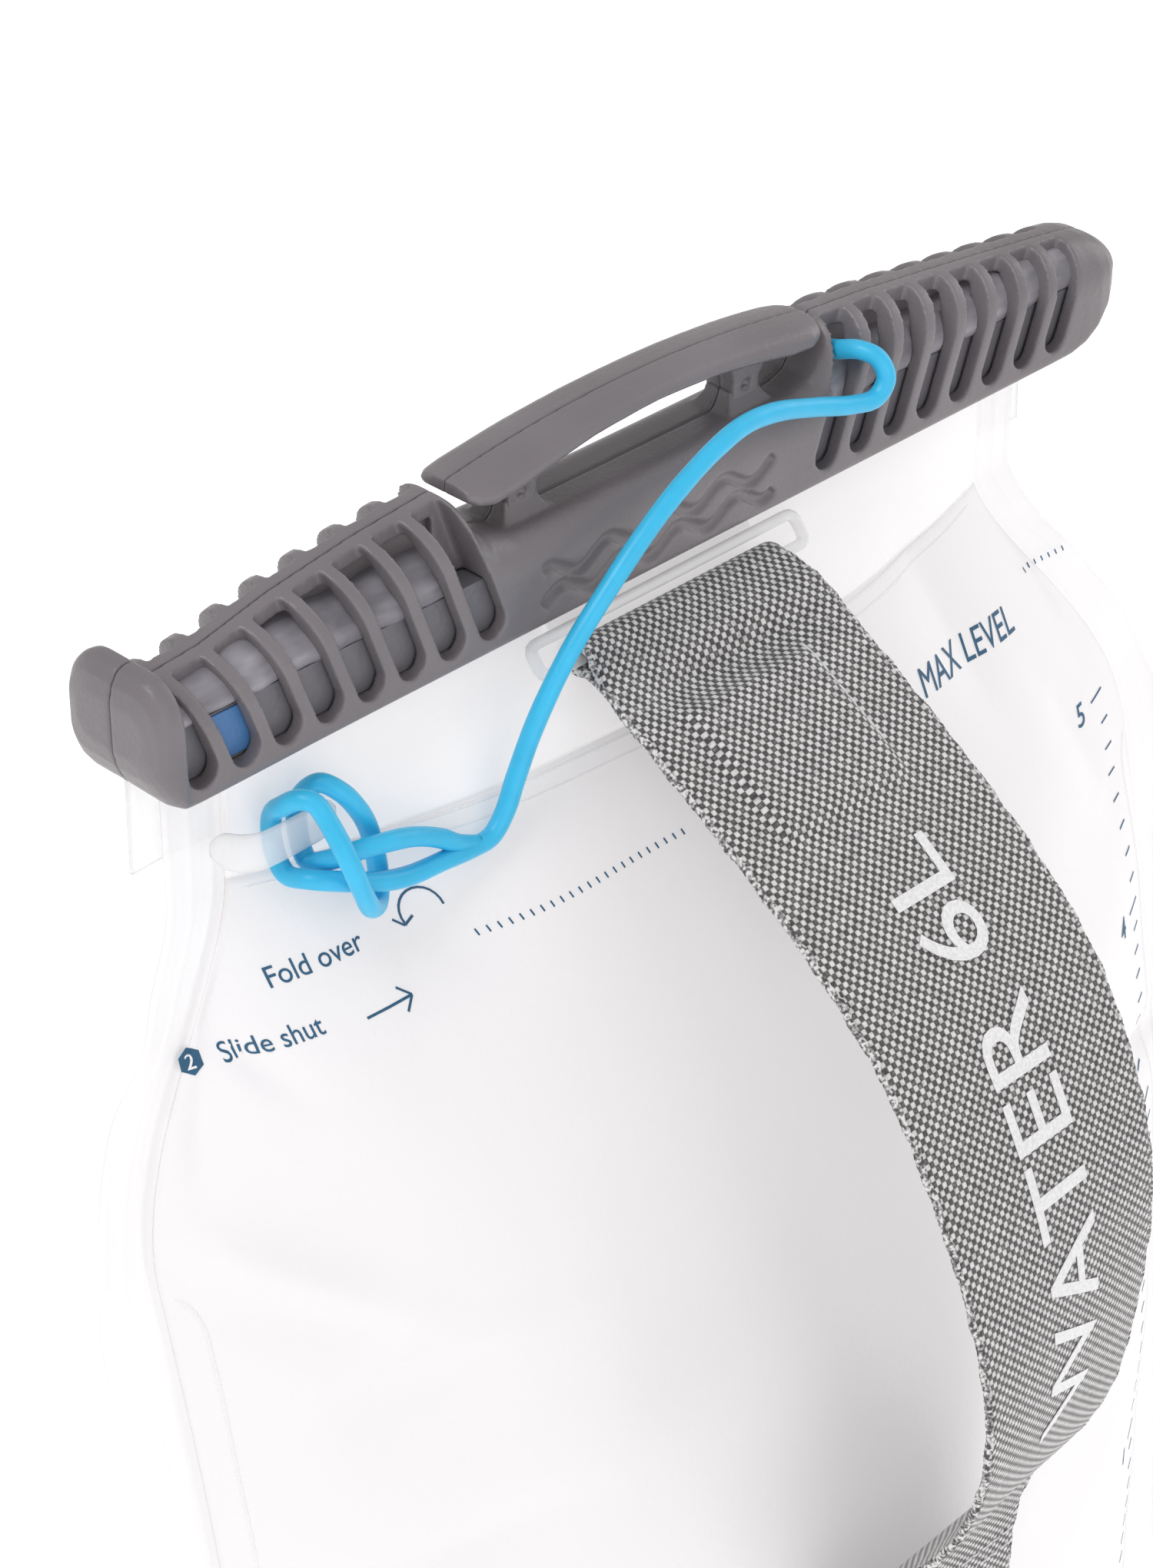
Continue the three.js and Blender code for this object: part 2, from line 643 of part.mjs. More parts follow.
function strapParts() {
  const group = new THREE.Group();
  const clear = material("clear", 0.2);
  group.add(named("strap", strap(), material("webbing", 0.8)));
  group.add(named("strap_ring_upper", strapRing(-9.8, -1.45, -0.68), clear));
  group.add(named("strap_ring_lower", strapRing(-69.8, -209.1, 0.15), clear));
  group.add(named("tether_tab", tetherTab(), clear));
  return group;
}

// ---- Tether, in the mouth's own frame ----
// From its anchor inside the slider, out through a slot, down the front and round the tab.
const TETHER_ROUTE = [
  [43.2, -2.3, 24.2], [43.3, -6, 25], [43.6, -10.5, 26.4], [44.7, -13.5, 25.6], [45.2, -15, 22.3],
  [42.9, -15, 19.7], [37.9, -14.5, 20.1], [29.2, -14, 22.7], [20.1, -14, 25.3], [12.4, -14.5, 26.2],
  [4.4, -15.5, 25.2], [-5.2, -16.5, 21.9], [-13.2, -17, 17.3], [-20.8, -17, 11.1], [-28.6, -16.5, 3],
  [-35.6, -16.3, -6.5], [-40.1, -16.5, -14.2], [-42.8, -16.7, -19.3], [-45.8, -16.8, -22.2],
  [-49.8, -16.8, -22.4], [-55.9, -17, -21.7], [-63.5, -17.2, -20.8], [-69.6, -17.2, -18.9],
  [-76.1, -16, -16.3], [-79.8, -13, -15.6], [-80.6, -8.8, -16.2], [-80.4, -6, -12.8],
  [-80.4, -6, -7.2], [-80.8, -9.2, -3.8], [-79.9, -12, -1.9], [-78.8, -14, -2.2], [-78.4, -16, -4.2],
  [-78.5, -18.8, -6.9], [-78.2, -20.8, -10.2], [-76.5, -21, -15], [-72.4, -18.5, -21.6],
  [-67.3, -14.5, -24.4], [-65.8, -12.9, -20.9], [-66.2, -12.5, -16.3], [-67.1, -12.2, -12.2],
  [-69, -12, -8.2], [-71.1, -11, -5], [-73.1, -8.6, -3.6], [-74.9, -6, -6.8],
  [-75.5, -6, -12.2], [-76.2, -8.8, -15.9], [-75.8, -12.8, -14.2], [-72.7, -15.8, -12.6],
  [-68.1, -16.6, -13], [-61.8, -16.6, -14.8], [-56.2, -16.4, -17.8],
];

// ---- Outlet valve at the foot of the front ----
function helix(radius, wire, y0, y1, turns) {
  const steps = turns * 12;
  const points = [];
  for (let i = 0; i <= steps; i++) {
    const angle = (2 * Math.PI * i) / 12;
    const y = y0 + ((y1 - y0) * i) / steps;
    points.push([radius * Math.cos(angle), y, radius * Math.sin(angle)]);
  }
  return tube(points, wire, steps, 6);
}

function portBody(face) {
  const shell = turned([
    [6, face], [12, face], [12, face - 9], [13.2, face - 10], [13.2, face - 15],
    [12.2, face - 16], [8, face - 16], [8, face - 5], [6, face - 5], [6, face],
  ]);
  const keyway = box(-3.3, 3.3, face - 13.3, face - 8, 5, 20);
  return shell.subtract(keyway);
}

function outletValve() {
  const group = new THREE.Group();
  const skin = frontY(0, PORT_Z) - FILM - GAP;
  const face = skin - 2.6;
  const grey = material("darkGrey", 0.5);
  group.add(named("port_flange", ringAbout(6, 20, skin - 2.3, skin, 40), material("clear", 0.25)));
  group.add(named("port_body", portBody(face), grey));
  group.add(named("port_seal", ringAbout(6.4, 7.7, face - 7.6, face - 6.2), material("rubber", 0.8)));
  const stem = rod(1.6, face - 1, face + 4.6, 16);
  const plunger = rod(5.6, face - 4.4, face - 1, 24).add(stem);
  group.add(named("valve_plunger", plunger, material("blue", 0.4)));
  group.add(named("valve_spring", helix(4.1, 0.9, face - 0.2, face + 3.6, 3), material("steel", 0.3, 0.9)));
  const cap = box(-2.9, 2.9, face - 12.9, face - 8.4, 8.6, 14.6);
  group.add(named("release_button", cap, material("blue", 0.4)));
  group.position.set(0, 0, PORT_Z);
  return group;
}

// ---- Assembly ----
const bag = new THREE.Group();
bag.add(bagBody());
bag.add(outletValve());
bag.add(named("ring_patch_upper", patch(23, -0.8, 3.3), material("clear", 0.2)));
bag.add(named("ring_patch_lower", patch(34, -222, -210.5), material("clear", 0.2)));

const mouthFrame = new THREE.Group();
mouthFrame.position.set(0, MOUTH_Y, MOUTH_Z);
mouthFrame.add(mouth(), slider(), strapParts());
mouthFrame.add(named("tether", tube(TETHER_ROUTE, TETHER_D, 80, 8), material("blue", 0.4)));
bag.add(mouthFrame);

export default bag;
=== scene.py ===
# Looks for the water bag: fine film, slider, handle, strap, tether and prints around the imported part.
# Lengths in this script are millimetres unless a name says otherwise; Blender gets metres.
import math

import bmesh
import bpy
import numpy as np
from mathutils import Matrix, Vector


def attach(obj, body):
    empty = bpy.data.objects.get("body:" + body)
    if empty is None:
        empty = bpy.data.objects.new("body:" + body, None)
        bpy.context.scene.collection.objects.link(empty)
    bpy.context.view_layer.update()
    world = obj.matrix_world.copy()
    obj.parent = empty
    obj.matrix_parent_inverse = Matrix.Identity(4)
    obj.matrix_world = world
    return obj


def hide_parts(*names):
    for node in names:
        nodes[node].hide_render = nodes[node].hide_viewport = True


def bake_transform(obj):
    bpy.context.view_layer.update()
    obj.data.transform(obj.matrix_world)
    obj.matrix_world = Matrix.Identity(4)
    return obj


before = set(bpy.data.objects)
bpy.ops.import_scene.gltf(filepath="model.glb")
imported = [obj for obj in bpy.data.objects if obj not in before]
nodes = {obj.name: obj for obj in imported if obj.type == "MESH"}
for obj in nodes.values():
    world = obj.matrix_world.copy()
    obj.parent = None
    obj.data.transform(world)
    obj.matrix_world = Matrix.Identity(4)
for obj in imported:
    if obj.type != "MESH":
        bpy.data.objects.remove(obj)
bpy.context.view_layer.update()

MM = 0.001
FILM = 0.55
MOUTH_Y = 37.95
MOUTH_Z = 305.0
NECK_DROP = 18.0
NECK_TOP = 7.8
RIM_Z = 14.0
BASE_ROUND = 28.0
NECK_HALF = 86.0
BODY_HALF = 115.0
SHOULDER = 54.0
SEAM_WIDTH = 10.0
FRONT_POWER = 2.4
BACK_POWER = 4.6
FRONT_DEPTH = 33.0
BACK_DEPTH = 58.0
SEAM_FORWARD = 32.0
SLIDER_BOTTOM = 4.0
MOUTH_HALF = 100.8
PORT_Z = 48.0
STRAP_X = 1.0
STRAP_WIDTH = 50.0
STRAP_TWIST = 5.0
TETHER_D = 3.2
CAP_FACE = -99.1
CHANNEL_START = -101.5
DECAL_LIFT = 0.08  # prints stand this far off the film, clear of its creases
WEB = 0.6
CREASE_GAIN = 1.7
RIBBED = ((-98.5, -43.5), (41.5, 107.0))
SLOT_FIRST = 37.8
SLOT_PITCH = 8.3
SLOT_FOOT = 9.2
SLOT_LEAN = 20  # degrees


def mouth(x, y, z):
    return (x, y + MOUTH_Y, z + MOUTH_Z)


# ---- Camera, light and floor ----
CAMERA_AZIMUTH = 45.2  # degrees
CAMERA_ELEVATION = 33
CAMERA_TARGET = mouth(-10.3, 0, -36.7)
CAMERA_DISTANCE = 0.691  # metres
CAMERA_LENS = 97.6
WORLD_LIGHT = 0.64
FLOOR_SIZE = 60  # metres
FLOOR_LIGHT = 0.42


def camera():
    azimuth = math.radians(CAMERA_AZIMUTH)
    elevation = math.radians(CAMERA_ELEVATION)
    target = Vector(CAMERA_TARGET) * MM
    back = Vector((
        -math.sin(azimuth) * math.cos(elevation),
        -math.cos(azimuth) * math.cos(elevation),
        math.sin(elevation),
    ))
    data = bpy.data.cameras.new("camera")
    data.sensor_fit = "VERTICAL"
    data.sensor_height = 36
    data.lens = CAMERA_LENS
    obj = bpy.data.objects.new("camera", data)
    bpy.context.scene.collection.objects.link(obj)
    obj.location = target + back * CAMERA_DISTANCE
    obj.rotation_euler = (-back).to_track_quat("-Z", "Y").to_euler()
    bpy.context.scene.camera = obj


def area_light(name, place, target, size, power, tint=(1, 1, 1)):
    data = bpy.data.lights.new(name, "AREA")
    data.shape = "RECTANGLE"
    data.size, data.size_y = size
    data.energy = power
    data.color = tint
    obj = bpy.data.objects.new(name, data)
    bpy.context.scene.collection.objects.link(obj)
    obj.location = place
    obj.rotation_euler = (Vector(target) - Vector(place)).to_track_quat("-Z", "Y").to_euler()


def studio():
    scene = bpy.context.scene
    scene.view_settings.view_transform = "Standard"
    world = bpy.data.worlds.new("studio")
    world.use_nodes = True
    shade = world.node_tree.nodes["Background"]
    shade.inputs["Color"].default_value = (1.0, 0.985, 0.985, 1)
    shade.inputs["Strength"].default_value = WORLD_LIGHT
    scene.world = world
    centre = (0, 0.03, 0.2)
    area_light("key", (-0.9, 0.1, 1.6), centre, (0.7, 0.7), 9)
    area_light("fill", (-0.5, -1.5, 0.7), centre, (1.6, 1.2), 4.5)
    area_light("side", (1.6, -0.2, 0.8), centre, (0.8, 1.2), 4.5)

    bpy.ops.mesh.primitive_plane_add(size=FLOOR_SIZE, location=(0, 0, -0.0002))
    floor = bpy.context.object
    floor.name = "floor"
    look = Look("floor", (0.88, 0.88, 0.885), 0.8, Emission_Color=(1, 1, 1, 1), Emission_Strength=FLOOR_LIGHT)
    floor.data.materials.append(look.material)


# ---- Materials ----
class Look:
    """A Principled material with its node helpers."""

    def __init__(self, name, base, roughness, **sockets):
        self.material = bpy.data.materials.new(name)
        self.material.use_nodes = True
        self.tree = self.material.node_tree
        self.shader = self.tree.nodes["Principled BSDF"]
        self.shader.inputs["Base Color"].default_value = (*base, 1)
        self.shader.inputs["Roughness"].default_value = roughness
        for key, value in sockets.items():
            self.shader.inputs[key.replace("_", " ")].default_value = value

    def node(self, kind, **values):
        made = self.tree.nodes.new(kind)
        for key, value in values.items():
            if key in made.inputs:
                made.inputs[key].default_value = value
            else:
                setattr(made, key, value)
        return made

    def link(self, source, socket):
        self.tree.links.new(source, socket)

    def coordinates(self, kind="Object"):
        return self.node("ShaderNodeTexCoord").outputs[kind]

    def noise(self, scale, detail=3, stretch=None, kind="Object"):
        made = self.node("ShaderNodeTexNoise", Scale=scale, Detail=detail)
        place = self.coordinates(kind)
        if stretch:
            mapping = self.node("ShaderNodeMapping", Scale=stretch)
            self.link(place, mapping.inputs["Vector"])
            place = mapping.outputs["Vector"]
        self.link(place, made.inputs["Vector"])
        return made.outputs["Fac"]

    def ramp(self, fac, *stops):
        made = self.node("ShaderNodeValToRGB")
        elements = made.color_ramp.elements
        while len(elements) < len(stops):
            elements.new(0.5)
        for element, (place, colour) in zip(elements, stops):
            element.position = place
            element.color = (*colour, 1)
        self.link(fac, made.inputs["Fac"])
        return made.outputs["Color"]

    def math(self, operation, a, b=None):
        made = self.node("ShaderNodeMath", operation=operation)
        for i, value in enumerate((a, b)):
            if value is None:
                continue
            if isinstance(value, (int, float)):
                made.inputs[i].default_value = value
            else:
                self.link(value, made.inputs[i])
        return made.outputs[0]

    def colour(self, output):
        self.link(output, self.shader.inputs["Base Color"])
        return self

    def rough(self, fac, low, high):
        made = self.node("ShaderNodeMapRange")
        made.inputs["To Min"].default_value = low
        made.inputs["To Max"].default_value = high
        self.link(fac, made.inputs["Value"])
        self.link(made.outputs["Result"], self.shader.inputs["Roughness"])
        return self

    def bump(self, height, distance, strength=1.0):
        made = self.node("ShaderNodeBump", Distance=distance, Strength=strength)
        self.link(height, made.inputs["Height"])
        self.link(made.outputs["Normal"], self.shader.inputs["Normal"])
        return self


def film_look(name, alpha, tint, glow=0.0):
    """Milky film; glow stands for the light that comes through it from behind."""
    look = Look(name, tint, 0.36, IOR=1.46, Emission_Color=(1, 0.985, 0.99, 1), Emission_Strength=glow)
    cloud = look.noise(14, 4)
    warm = tuple(min(1, c * 1.04) for c in tint)
    look.colour(look.ramp(cloud, (0.3, tint), (0.7, warm)))
    grain = look.noise(900, 2)
    look.rough(grain, 0.3, 0.44)
    look.bump(grain, 0.00012, 0.5)
    look.shader.inputs["Alpha"].default_value = alpha
    return look.material


def clear_look(name, low, high, tint=(0.86, 0.87, 0.89)):
    look = Look(name, tint, 0.12, IOR=1.46)
    facing = look.node("ShaderNodeLayerWeight", Blend=0.35).outputs["Facing"]
    ramp = look.node("ShaderNodeMapRange")
    ramp.inputs["To Min"].default_value = low
    ramp.inputs["To Max"].default_value = high
    look.link(facing, ramp.inputs["Value"])
    look.link(ramp.outputs["Result"], look.shader.inputs["Alpha"])
    look.bump(look.noise(60, 3), 0.0004, 0.35)
    return look.material


def plastic_look(name, base, roughness=0.38):
    look = Look(name, base, roughness, IOR=1.5)
    cloud = look.noise(40, 4)
    dark = tuple(c * 0.93 for c in base)
    light = tuple(c * 1.07 for c in base)
    look.colour(look.ramp(cloud, (0.35, dark), (0.65, light)))
    grain = look.noise(1100, 3)
    look.rough(grain, roughness - 0.1, roughness + 0.08)
    look.bump(grain, 0.00013, 0.7)
    return look.material


def roll_look(name):
    """Rolled film behind the ribs: lilac grey, with soft lighter streaks along it that are painted
    highlights.
    """
    look = Look(name, (0.36, 0.35, 0.39), 0.3, IOR=1.46)
    highlight_streaks = look.noise(160, 3, (0.35, 1, 1.6))
    dark, middle, light = (0.2, 0.19, 0.215), (0.29, 0.28, 0.31), (0.42, 0.41, 0.45)
    # Painted highlights: the noise streaks, stretched along the roll, lighten its lilac grey in soft bands.
    look.colour(look.ramp(highlight_streaks, (0.35, dark), (0.55, middle), (0.7, light)))
    look.bump(look.noise(220, 3), 0.0004, 0.5)
    return look.material


def silicone_look(name, base):
    look = Look(name, base, 0.34, IOR=1.43, Subsurface_Weight=0.15, Subsurface_Scale=0.002)
    cloud = look.noise(220, 3)
    look.colour(look.ramp(cloud, (0.3, tuple(c * 0.92 for c in base)), (0.7, base)))
    look.rough(look.noise(600, 2), 0.27, 0.42)
    look.bump(look.noise(900, 2), 0.00005, 0.5)
    return look.material


def print_look(name, base, roughness=0.5):
    look = Look(name, base, roughness)
    speck = look.noise(1800, 2)
    look.colour(look.ramp(speck, (0.35, tuple(c * 0.85 for c in base)), (0.65, base)))
    return look.material


def weave_look(name):
    """Basket weave laid out on the strap's own UV map, which is in millimetres, with shade painted into the
    grooves between its bumps.
    """
    look = Look(name, (0.3, 0.3, 0.31), 0.62, Sheen_Weight=0.25)
    split = look.node("ShaderNodeSeparateXYZ")
    look.link(look.coordinates("UV"), split.inputs[0])
    pitch = 0.94
    u = look.math("MULTIPLY", split.outputs["X"], math.pi / pitch)
    v = look.math("MULTIPLY", split.outputs["Y"], math.pi / pitch)
    across, along = look.math("SINE", u), look.math("SINE", v)
    product = look.math("MULTIPLY", across, along)
    sign = look.math("GREATER_THAN", product, 0)
    dome = look.math("POWER", look.math("ABSOLUTE", product), 0.16)
    threads_u = look.math("SINE", look.math("MULTIPLY", split.outputs["X"], 2 * math.pi / 0.22))
    threads_v = look.math("SINE", look.math("MULTIPLY", split.outputs["Y"], 2 * math.pi / 0.22))
    mix = look.node("ShaderNodeMix", data_type="FLOAT")
    look.link(sign, mix.inputs[0])
    look.link(threads_u, mix.inputs[2])
    look.link(threads_v, mix.inputs[3])
    threads = look.math("MULTIPLY", mix.outputs[0], 0.12)
    fuzz = look.math("MULTIPLY", look.math("SUBTRACT", look.noise(900, 4), 0.5), 0.9)
    tone = look.math("ADD", look.math("MULTIPLY", sign, 0.62), look.math("ADD", fuzz, 0.22))
    # Multiplying by the dome darkens the colour towards each cell's edges: painted shade in the grooves
    # between the weave's bumps.
    tone = look.math("MULTIPLY", look.math("ADD", tone, threads), look.math("ADD", dome, 0.1))
    look.colour(look.ramp(
        tone, (0.0, (0.03, 0.028, 0.029)), (0.3, (0.065, 0.06, 0.062)),
        (0.6, (0.38, 0.37, 0.365)), (0.95, (0.74, 0.73, 0.72)),
    ))
    height = look.math("ADD", dome, look.math("MULTIPLY", threads, 0.5))
    look.bump(height, 0.00016, 0.8)
    return look.material


def selvedge_look(name):
    """The strap's frayed edge: light and dark threads mixed."""
    look = Look(name, (0.35, 0.34, 0.34), 0.7)
    threads = look.noise(1500, 2)
    dark, middle, light = (0.06, 0.055, 0.058), (0.3, 0.29, 0.29), (0.72, 0.71, 0.7)
    look.colour(look.ramp(threads, (0.38, dark), (0.5, middle), (0.6, light)))
    look.bump(threads, 0.0003, 0.9)
    return look.material


def metal_look(name, base, roughness):
    look = Look(name, base, roughness, Metallic=1.0)
    look.rough(look.noise(300, 3), roughness - 0.08, roughness + 0.1)
    look.bump(look.noise(700, 2), 0.00004, 0.4)
    return look.material


# ---- Meshes ----
def make_object(name, points, faces, look, smooth=True):
    """A mesh object from points in millimetres."""
    mesh = bpy.data.meshes.new(name)
    mesh.from_pydata((np.asarray(points, float) * MM).tolist(), [], [list(f) for f in faces])
    mesh.materials.append(look)
    if smooth:
        mesh.polygons.foreach_set("use_smooth", [True] * len(mesh.polygons))
    mesh.update()
    obj = bpy.data.objects.new(name, mesh)
    bpy.context.scene.collection.objects.link(obj)
    return obj


def place(obj, body, slot, *replaced):
    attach(obj, body)
    if replaced:
        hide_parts(*replaced)
    return obj


def grid_faces(columns, rows, lift=0, flip=False):
    v, u = np.meshgrid(np.arange(rows - 1), np.arange(columns - 1), indexing="ij")
    a = (v * columns + u).ravel() + lift
    quad = np.stack([a, a + 1, a + 1 + columns, a + columns], 1)
    return (quad[:, ::-1] if flip else quad).tolist()


def shell(name, inner, outer, look):
    """A closed thin sheet between two grids of points with the same layout, rows x columns x 3."""
    rows, columns = inner.shape[:2]
    count = rows * columns
    faces = grid_faces(columns, rows) + grid_faces(columns, rows, count, True)
    index = np.arange(count).reshape(rows, columns)
    edge = [*index[0, :-1], *index[:-1, -1], *index[-1, :0:-1], *index[:0:-1, 0]]
    for i, a in enumerate(edge):
        b = edge[(i + 1) % len(edge)]
        faces.append([a, a + count, b + count, b])
    points = np.concatenate([inner.reshape(-1, 3), outer.reshape(-1, 3)])
    obj = make_object(name, points, faces, look)
    fix_normals(obj)
    return obj


def fix_normals(obj):
    made = bmesh.new()
    made.from_mesh(obj.data)
    bmesh.ops.recalc_face_normals(made, faces=made.faces)
    made.to_mesh(obj.data)
    made.free()


def sweep(centres, radii, sides, up=(0, 0, 1)):
    """Points and faces of a closed round tube; radii is one number or one for each centre."""
    centres = np.asarray(centres, float)
    radii = np.broadcast_to(radii, len(centres))
    tangents = np.gradient(centres, axis=0)
    tangents /= np.linalg.norm(tangents, axis=1)[:, None]
    normal = np.cross(tangents[0], up)
    normal /= np.linalg.norm(normal)
    points = []
    angles = np.arange(sides) * 2 * math.pi / sides
    for centre, tangent, radius in zip(centres, tangents, radii):
        normal = normal - tangent * np.dot(normal, tangent)
        normal /= np.linalg.norm(normal)
        side = np.cross(tangent, normal)
        ring = centre + radius * (np.cos(angles)[:, None] * normal + np.sin(angles)[:, None] * side)
        points.append(ring)
    count = len(centres)
    faces = []
    for r in range(count - 1):
        for i in range(sides):
            j = (i + 1) % sides
            faces.append([r * sides + i, r * sides + j, (r + 1) * sides + j, (r + 1) * sides + i])
    faces.append(list(range(sides))[::-1])
    faces.append([(count - 1) * sides + i for i in range(sides)])
    return np.concatenate(points), faces


def catmull(points, t):
    """Centripetal Catmull-Rom curve through the points, at t = 0..1."""
    p = np.asarray(points, float)
    first, last = 2 * p[0] - p[1], 2 * p[-1] - p[-2]
    p = np.vstack([first, p, last])
    place = np.clip(np.asarray(t, float), 0, 1) * (len(p) - 3)
    i = np.minimum(place.astype(int), len(p) - 4)
    w = (place - i)[:, None]
    p0, p1, p2, p3 = p[i], p[i + 1], p[i + 2], p[i + 3]
    step = lambda a, b: np.maximum(np.linalg.norm(b - a, axis=1) ** 0.5, 1e-4)[:, None]
    d0, d1, d2 = step(p0, p1), step(p1, p2), step(p2, p3)
    t1 = ((p1 - p0) / d0 - (p2 - p0) / (d0 + d1) + (p2 - p1) / d1) * d1
    t2 = ((p2 - p1) / d1 - (p3 - p1) / (d1 + d2) + (p3 - p2) / d2) * d1
    c2 = -3 * p1 + 3 * p2 - 2 * t1 - t2
    c3 = 2 * p1 - 2 * p2 + t1 + t2
    return p1 + t1 * w + c2 * w**2 + c3 * w**3


def resample(points, step):
    points = np.asarray(points, float)
    along = np.concatenate([[0], np.cumsum(np.linalg.norm(np.diff(points, axis=0), axis=1))])
    count = max(2, int(round(along[-1] / step)) + 1)
    wanted = np.linspace(0, along[-1], count)
    return np.stack([np.interp(wanted, along, points[:, k]) for k in range(3)], 1), along[-1]


# ---- The bag's shape, as in the part ----
def clamp01(t):
    return np.clip(t, 0, 1)


def half_width(z):
    t = clamp01((MOUTH_Z - z - NECK_DROP) / SHOULDER)
    return NECK_HALF + (BODY_HALF - NECK_HALF) * np.sin(t * math.pi / 2) ** 1.4


def seam_y(z):
    t = clamp01((MOUTH_Z - z - NECK_DROP) / 180)
    return MOUTH_Y - SEAM_FORWARD * np.sin(t * math.pi / 2)


def base_taper(z):
    return 1 - 0.16 * clamp01(1 - z / BASE_ROUND) ** 2


def width_taper(z):
    return 1 - 0.05 * clamp01(1 - z / BASE_ROUND) ** 2


def opened(z):
    return np.maximum(0, MOUTH_Z - z + SLIDER_BOTTOM)


def front_depth(z):
    return FRONT_DEPTH * (1 - np.exp(-opened(z) / 46)) * base_taper(z)


def back_depth(z):
    return BACK_DEPTH * (1 - np.exp(-((opened(z) / 70) ** 1.4))) * base_taper(z)


def fullness(u, power):
    return 1 - np.abs(u) ** power


def bump_at(x, z, cx, cz, rx, rz):
    return np.exp(-(((x - cx) / rx) ** 2) - ((z - cz) / rz) ** 2)


def crease(x, z, x0, z0, x1, z1, width):
    """1 along a fold line, falling away to both sides and towards its ends; z from the mouth."""
    dx, dz = x1 - x0, z1 - z0
    length = math.hypot(dx, dz)
    along = ((x - x0) * dx + (z - z0) * dz) / length**2
    away = ((x - x0) * dz - (z - z0) * dx) / length
    ends = np.exp(-(np.maximum(0, np.abs(along - 0.5) - 0.5) * length / (1.6 * width)) ** 2)
    fade = 0.35 + 0.65 * np.sin(clamp01(along) * math.pi)
    return np.exp(-np.abs(away / width) ** 1.5) * ends * fade


def waves(x, z, seed, amount):
    """Gentle, fixed undulation of the film."""
    random = np.random.default_rng(seed)
    total = np.zeros(np.broadcast(x, z).shape)
    for _ in range(9):
        angle = random.uniform(0, math.pi)
        length = random.uniform(28, 75)
        phase = random.uniform(0, 2 * math.pi)
        total += np.sin((x * math.cos(angle) + z * math.sin(angle)) * 2 * math.pi / length + phase)
    return total * amount / 9


FRONT_CREASES = [
    # x0, z0, x1, z1 from the mouth, width, depth (+ pushes in)
    (-118, -134, -98, -131, 5, 3.4),
    (-98, -131, -52, -127, 8, 1.4),
    (-118, -60, -84, -84, 5, -1.8),
    (-107, -78, -84, -89, 5, 1.5),
    (-95, -93, -60, -91, 4, -1.0),
    (-96, -104, -66, -99, 6, 0.9),
    (-90, -20, -97, -38, 2.6, 2.6),
    (-97, -38, -112, -47, 2.4, -1.2),
    (-97, -37, -88, -48, 2.2, 0.9),
    (-98, -39, -106, -58, 3.0, 1.1),
    (90, -22, 97, -40, 2.6, 2.0),
    (97, -40, 111, -50, 2.4, -1.0),
    (86, -52, 100, -76, 5, 1.2),
    (120, -136, 92, -130, 5, 3.0),
    (-60, -18, -66, -44, 6, 0.8),
    (60, -18, 68, -46, 6, 0.8),
]
BACK_CREASES = [
    (-118, -120, -80, -112, 6, 3.5),
    (118, -124, 76, -116, 6, 3.5),
    (-96, -40, -60, -62, 5, 2.2),
    (96, -40, 58, -60, 5, 2.2),
    (-40, -34, -20, -80, 7, 1.2),
    (30, -30, 44, -84, 7, 1.2),
]


def relief(x, z, creases, seed):
    """Inward push of the film, in mm, at x and height z above the base."""
    down = z - MOUTH_Z
    edge = clamp01((half_width(z) - np.abs(x)) / 9) ** 0.7
    free = clamp01((NECK_DROP - 6 - down - 24) / 20)
    total = waves(x, z, seed, 1.5) * free
    for x0, z0, x1, z1, width, depth in creases:
        total = total + CREASE_GAIN * depth * crease(x, down, x0, z0, x1, z1, width)
    calm = 1 - bump_at(x, z, 0, PORT_Z, 30, 30)
    calm = calm * (1 - bump_at(x, down, STRAP_X, -214, 50, 22))
    calm = calm * (1 - bump_at(x, down, STRAP_X, 2, 45, 9))
    return total * edge * calm * clamp01(z / 20)


def front_y(x, z, offset=0.0):
    """The front film's outer face, offset further out, at x and height z."""
    u = np.clip(x / (half_width(z) * width_taper(z)), -1, 1)
    base = seam_y(z) - 0.3 - front_depth(z) * fullness(u, FRONT_POWER) - 1.2
    return base + relief(x, z, FRONT_CREASES, 3) - offset


def film_sheet(name, face, z0, z1, columns, rows, look):
    """A panel of film from z0 to z1; face -1 is the front, 1 the back."""
    s = np.linspace(0, 1, columns)
    u = -np.cos(math.pi * s)
    u = 0.35 * u + 0.65 * (2 * s - 1)
    z = np.linspace(z0, z1, rows)
    u, z = np.meshgrid(u, z)
    x = u * half_width(z) * width_taper(z)
    if face < 0:
        outer = front_y(x, z)
    else:
        outer = seam_y(z) + 0.3 + back_depth(z) * fullness(u, BACK_POWER) + 1.2
        outer = outer - relief(x, z, BACK_CREASES, 8)
    inner = outer - face * FILM
    return shell(name, np.stack([x, inner, z], 2), np.stack([x, outer, z], 2), look)


def bag_films():
    milky, neck = LOOKS["milky"], LOOKS["neck"]
    weld = MOUTH_Z - NECK_DROP
    place(film_sheet("bag_front", -1, RIM_Z - 0.2, weld, 150, 190, milky), "bag", "film", "front_panel")
    place(film_sheet("bag_back", 1, RIM_Z - 0.2, weld, 120, 160, milky), "bag", "film", "back_panel")
    top = MOUTH_Z + NECK_TOP
    place(film_sheet("neck_front_film", -1, weld, top, 110, 30, neck), "bag", "film", "neck_front")
    place(film_sheet("neck_back_film", 1, weld, top, 110, 30, neck), "bag", "film", "neck_back")



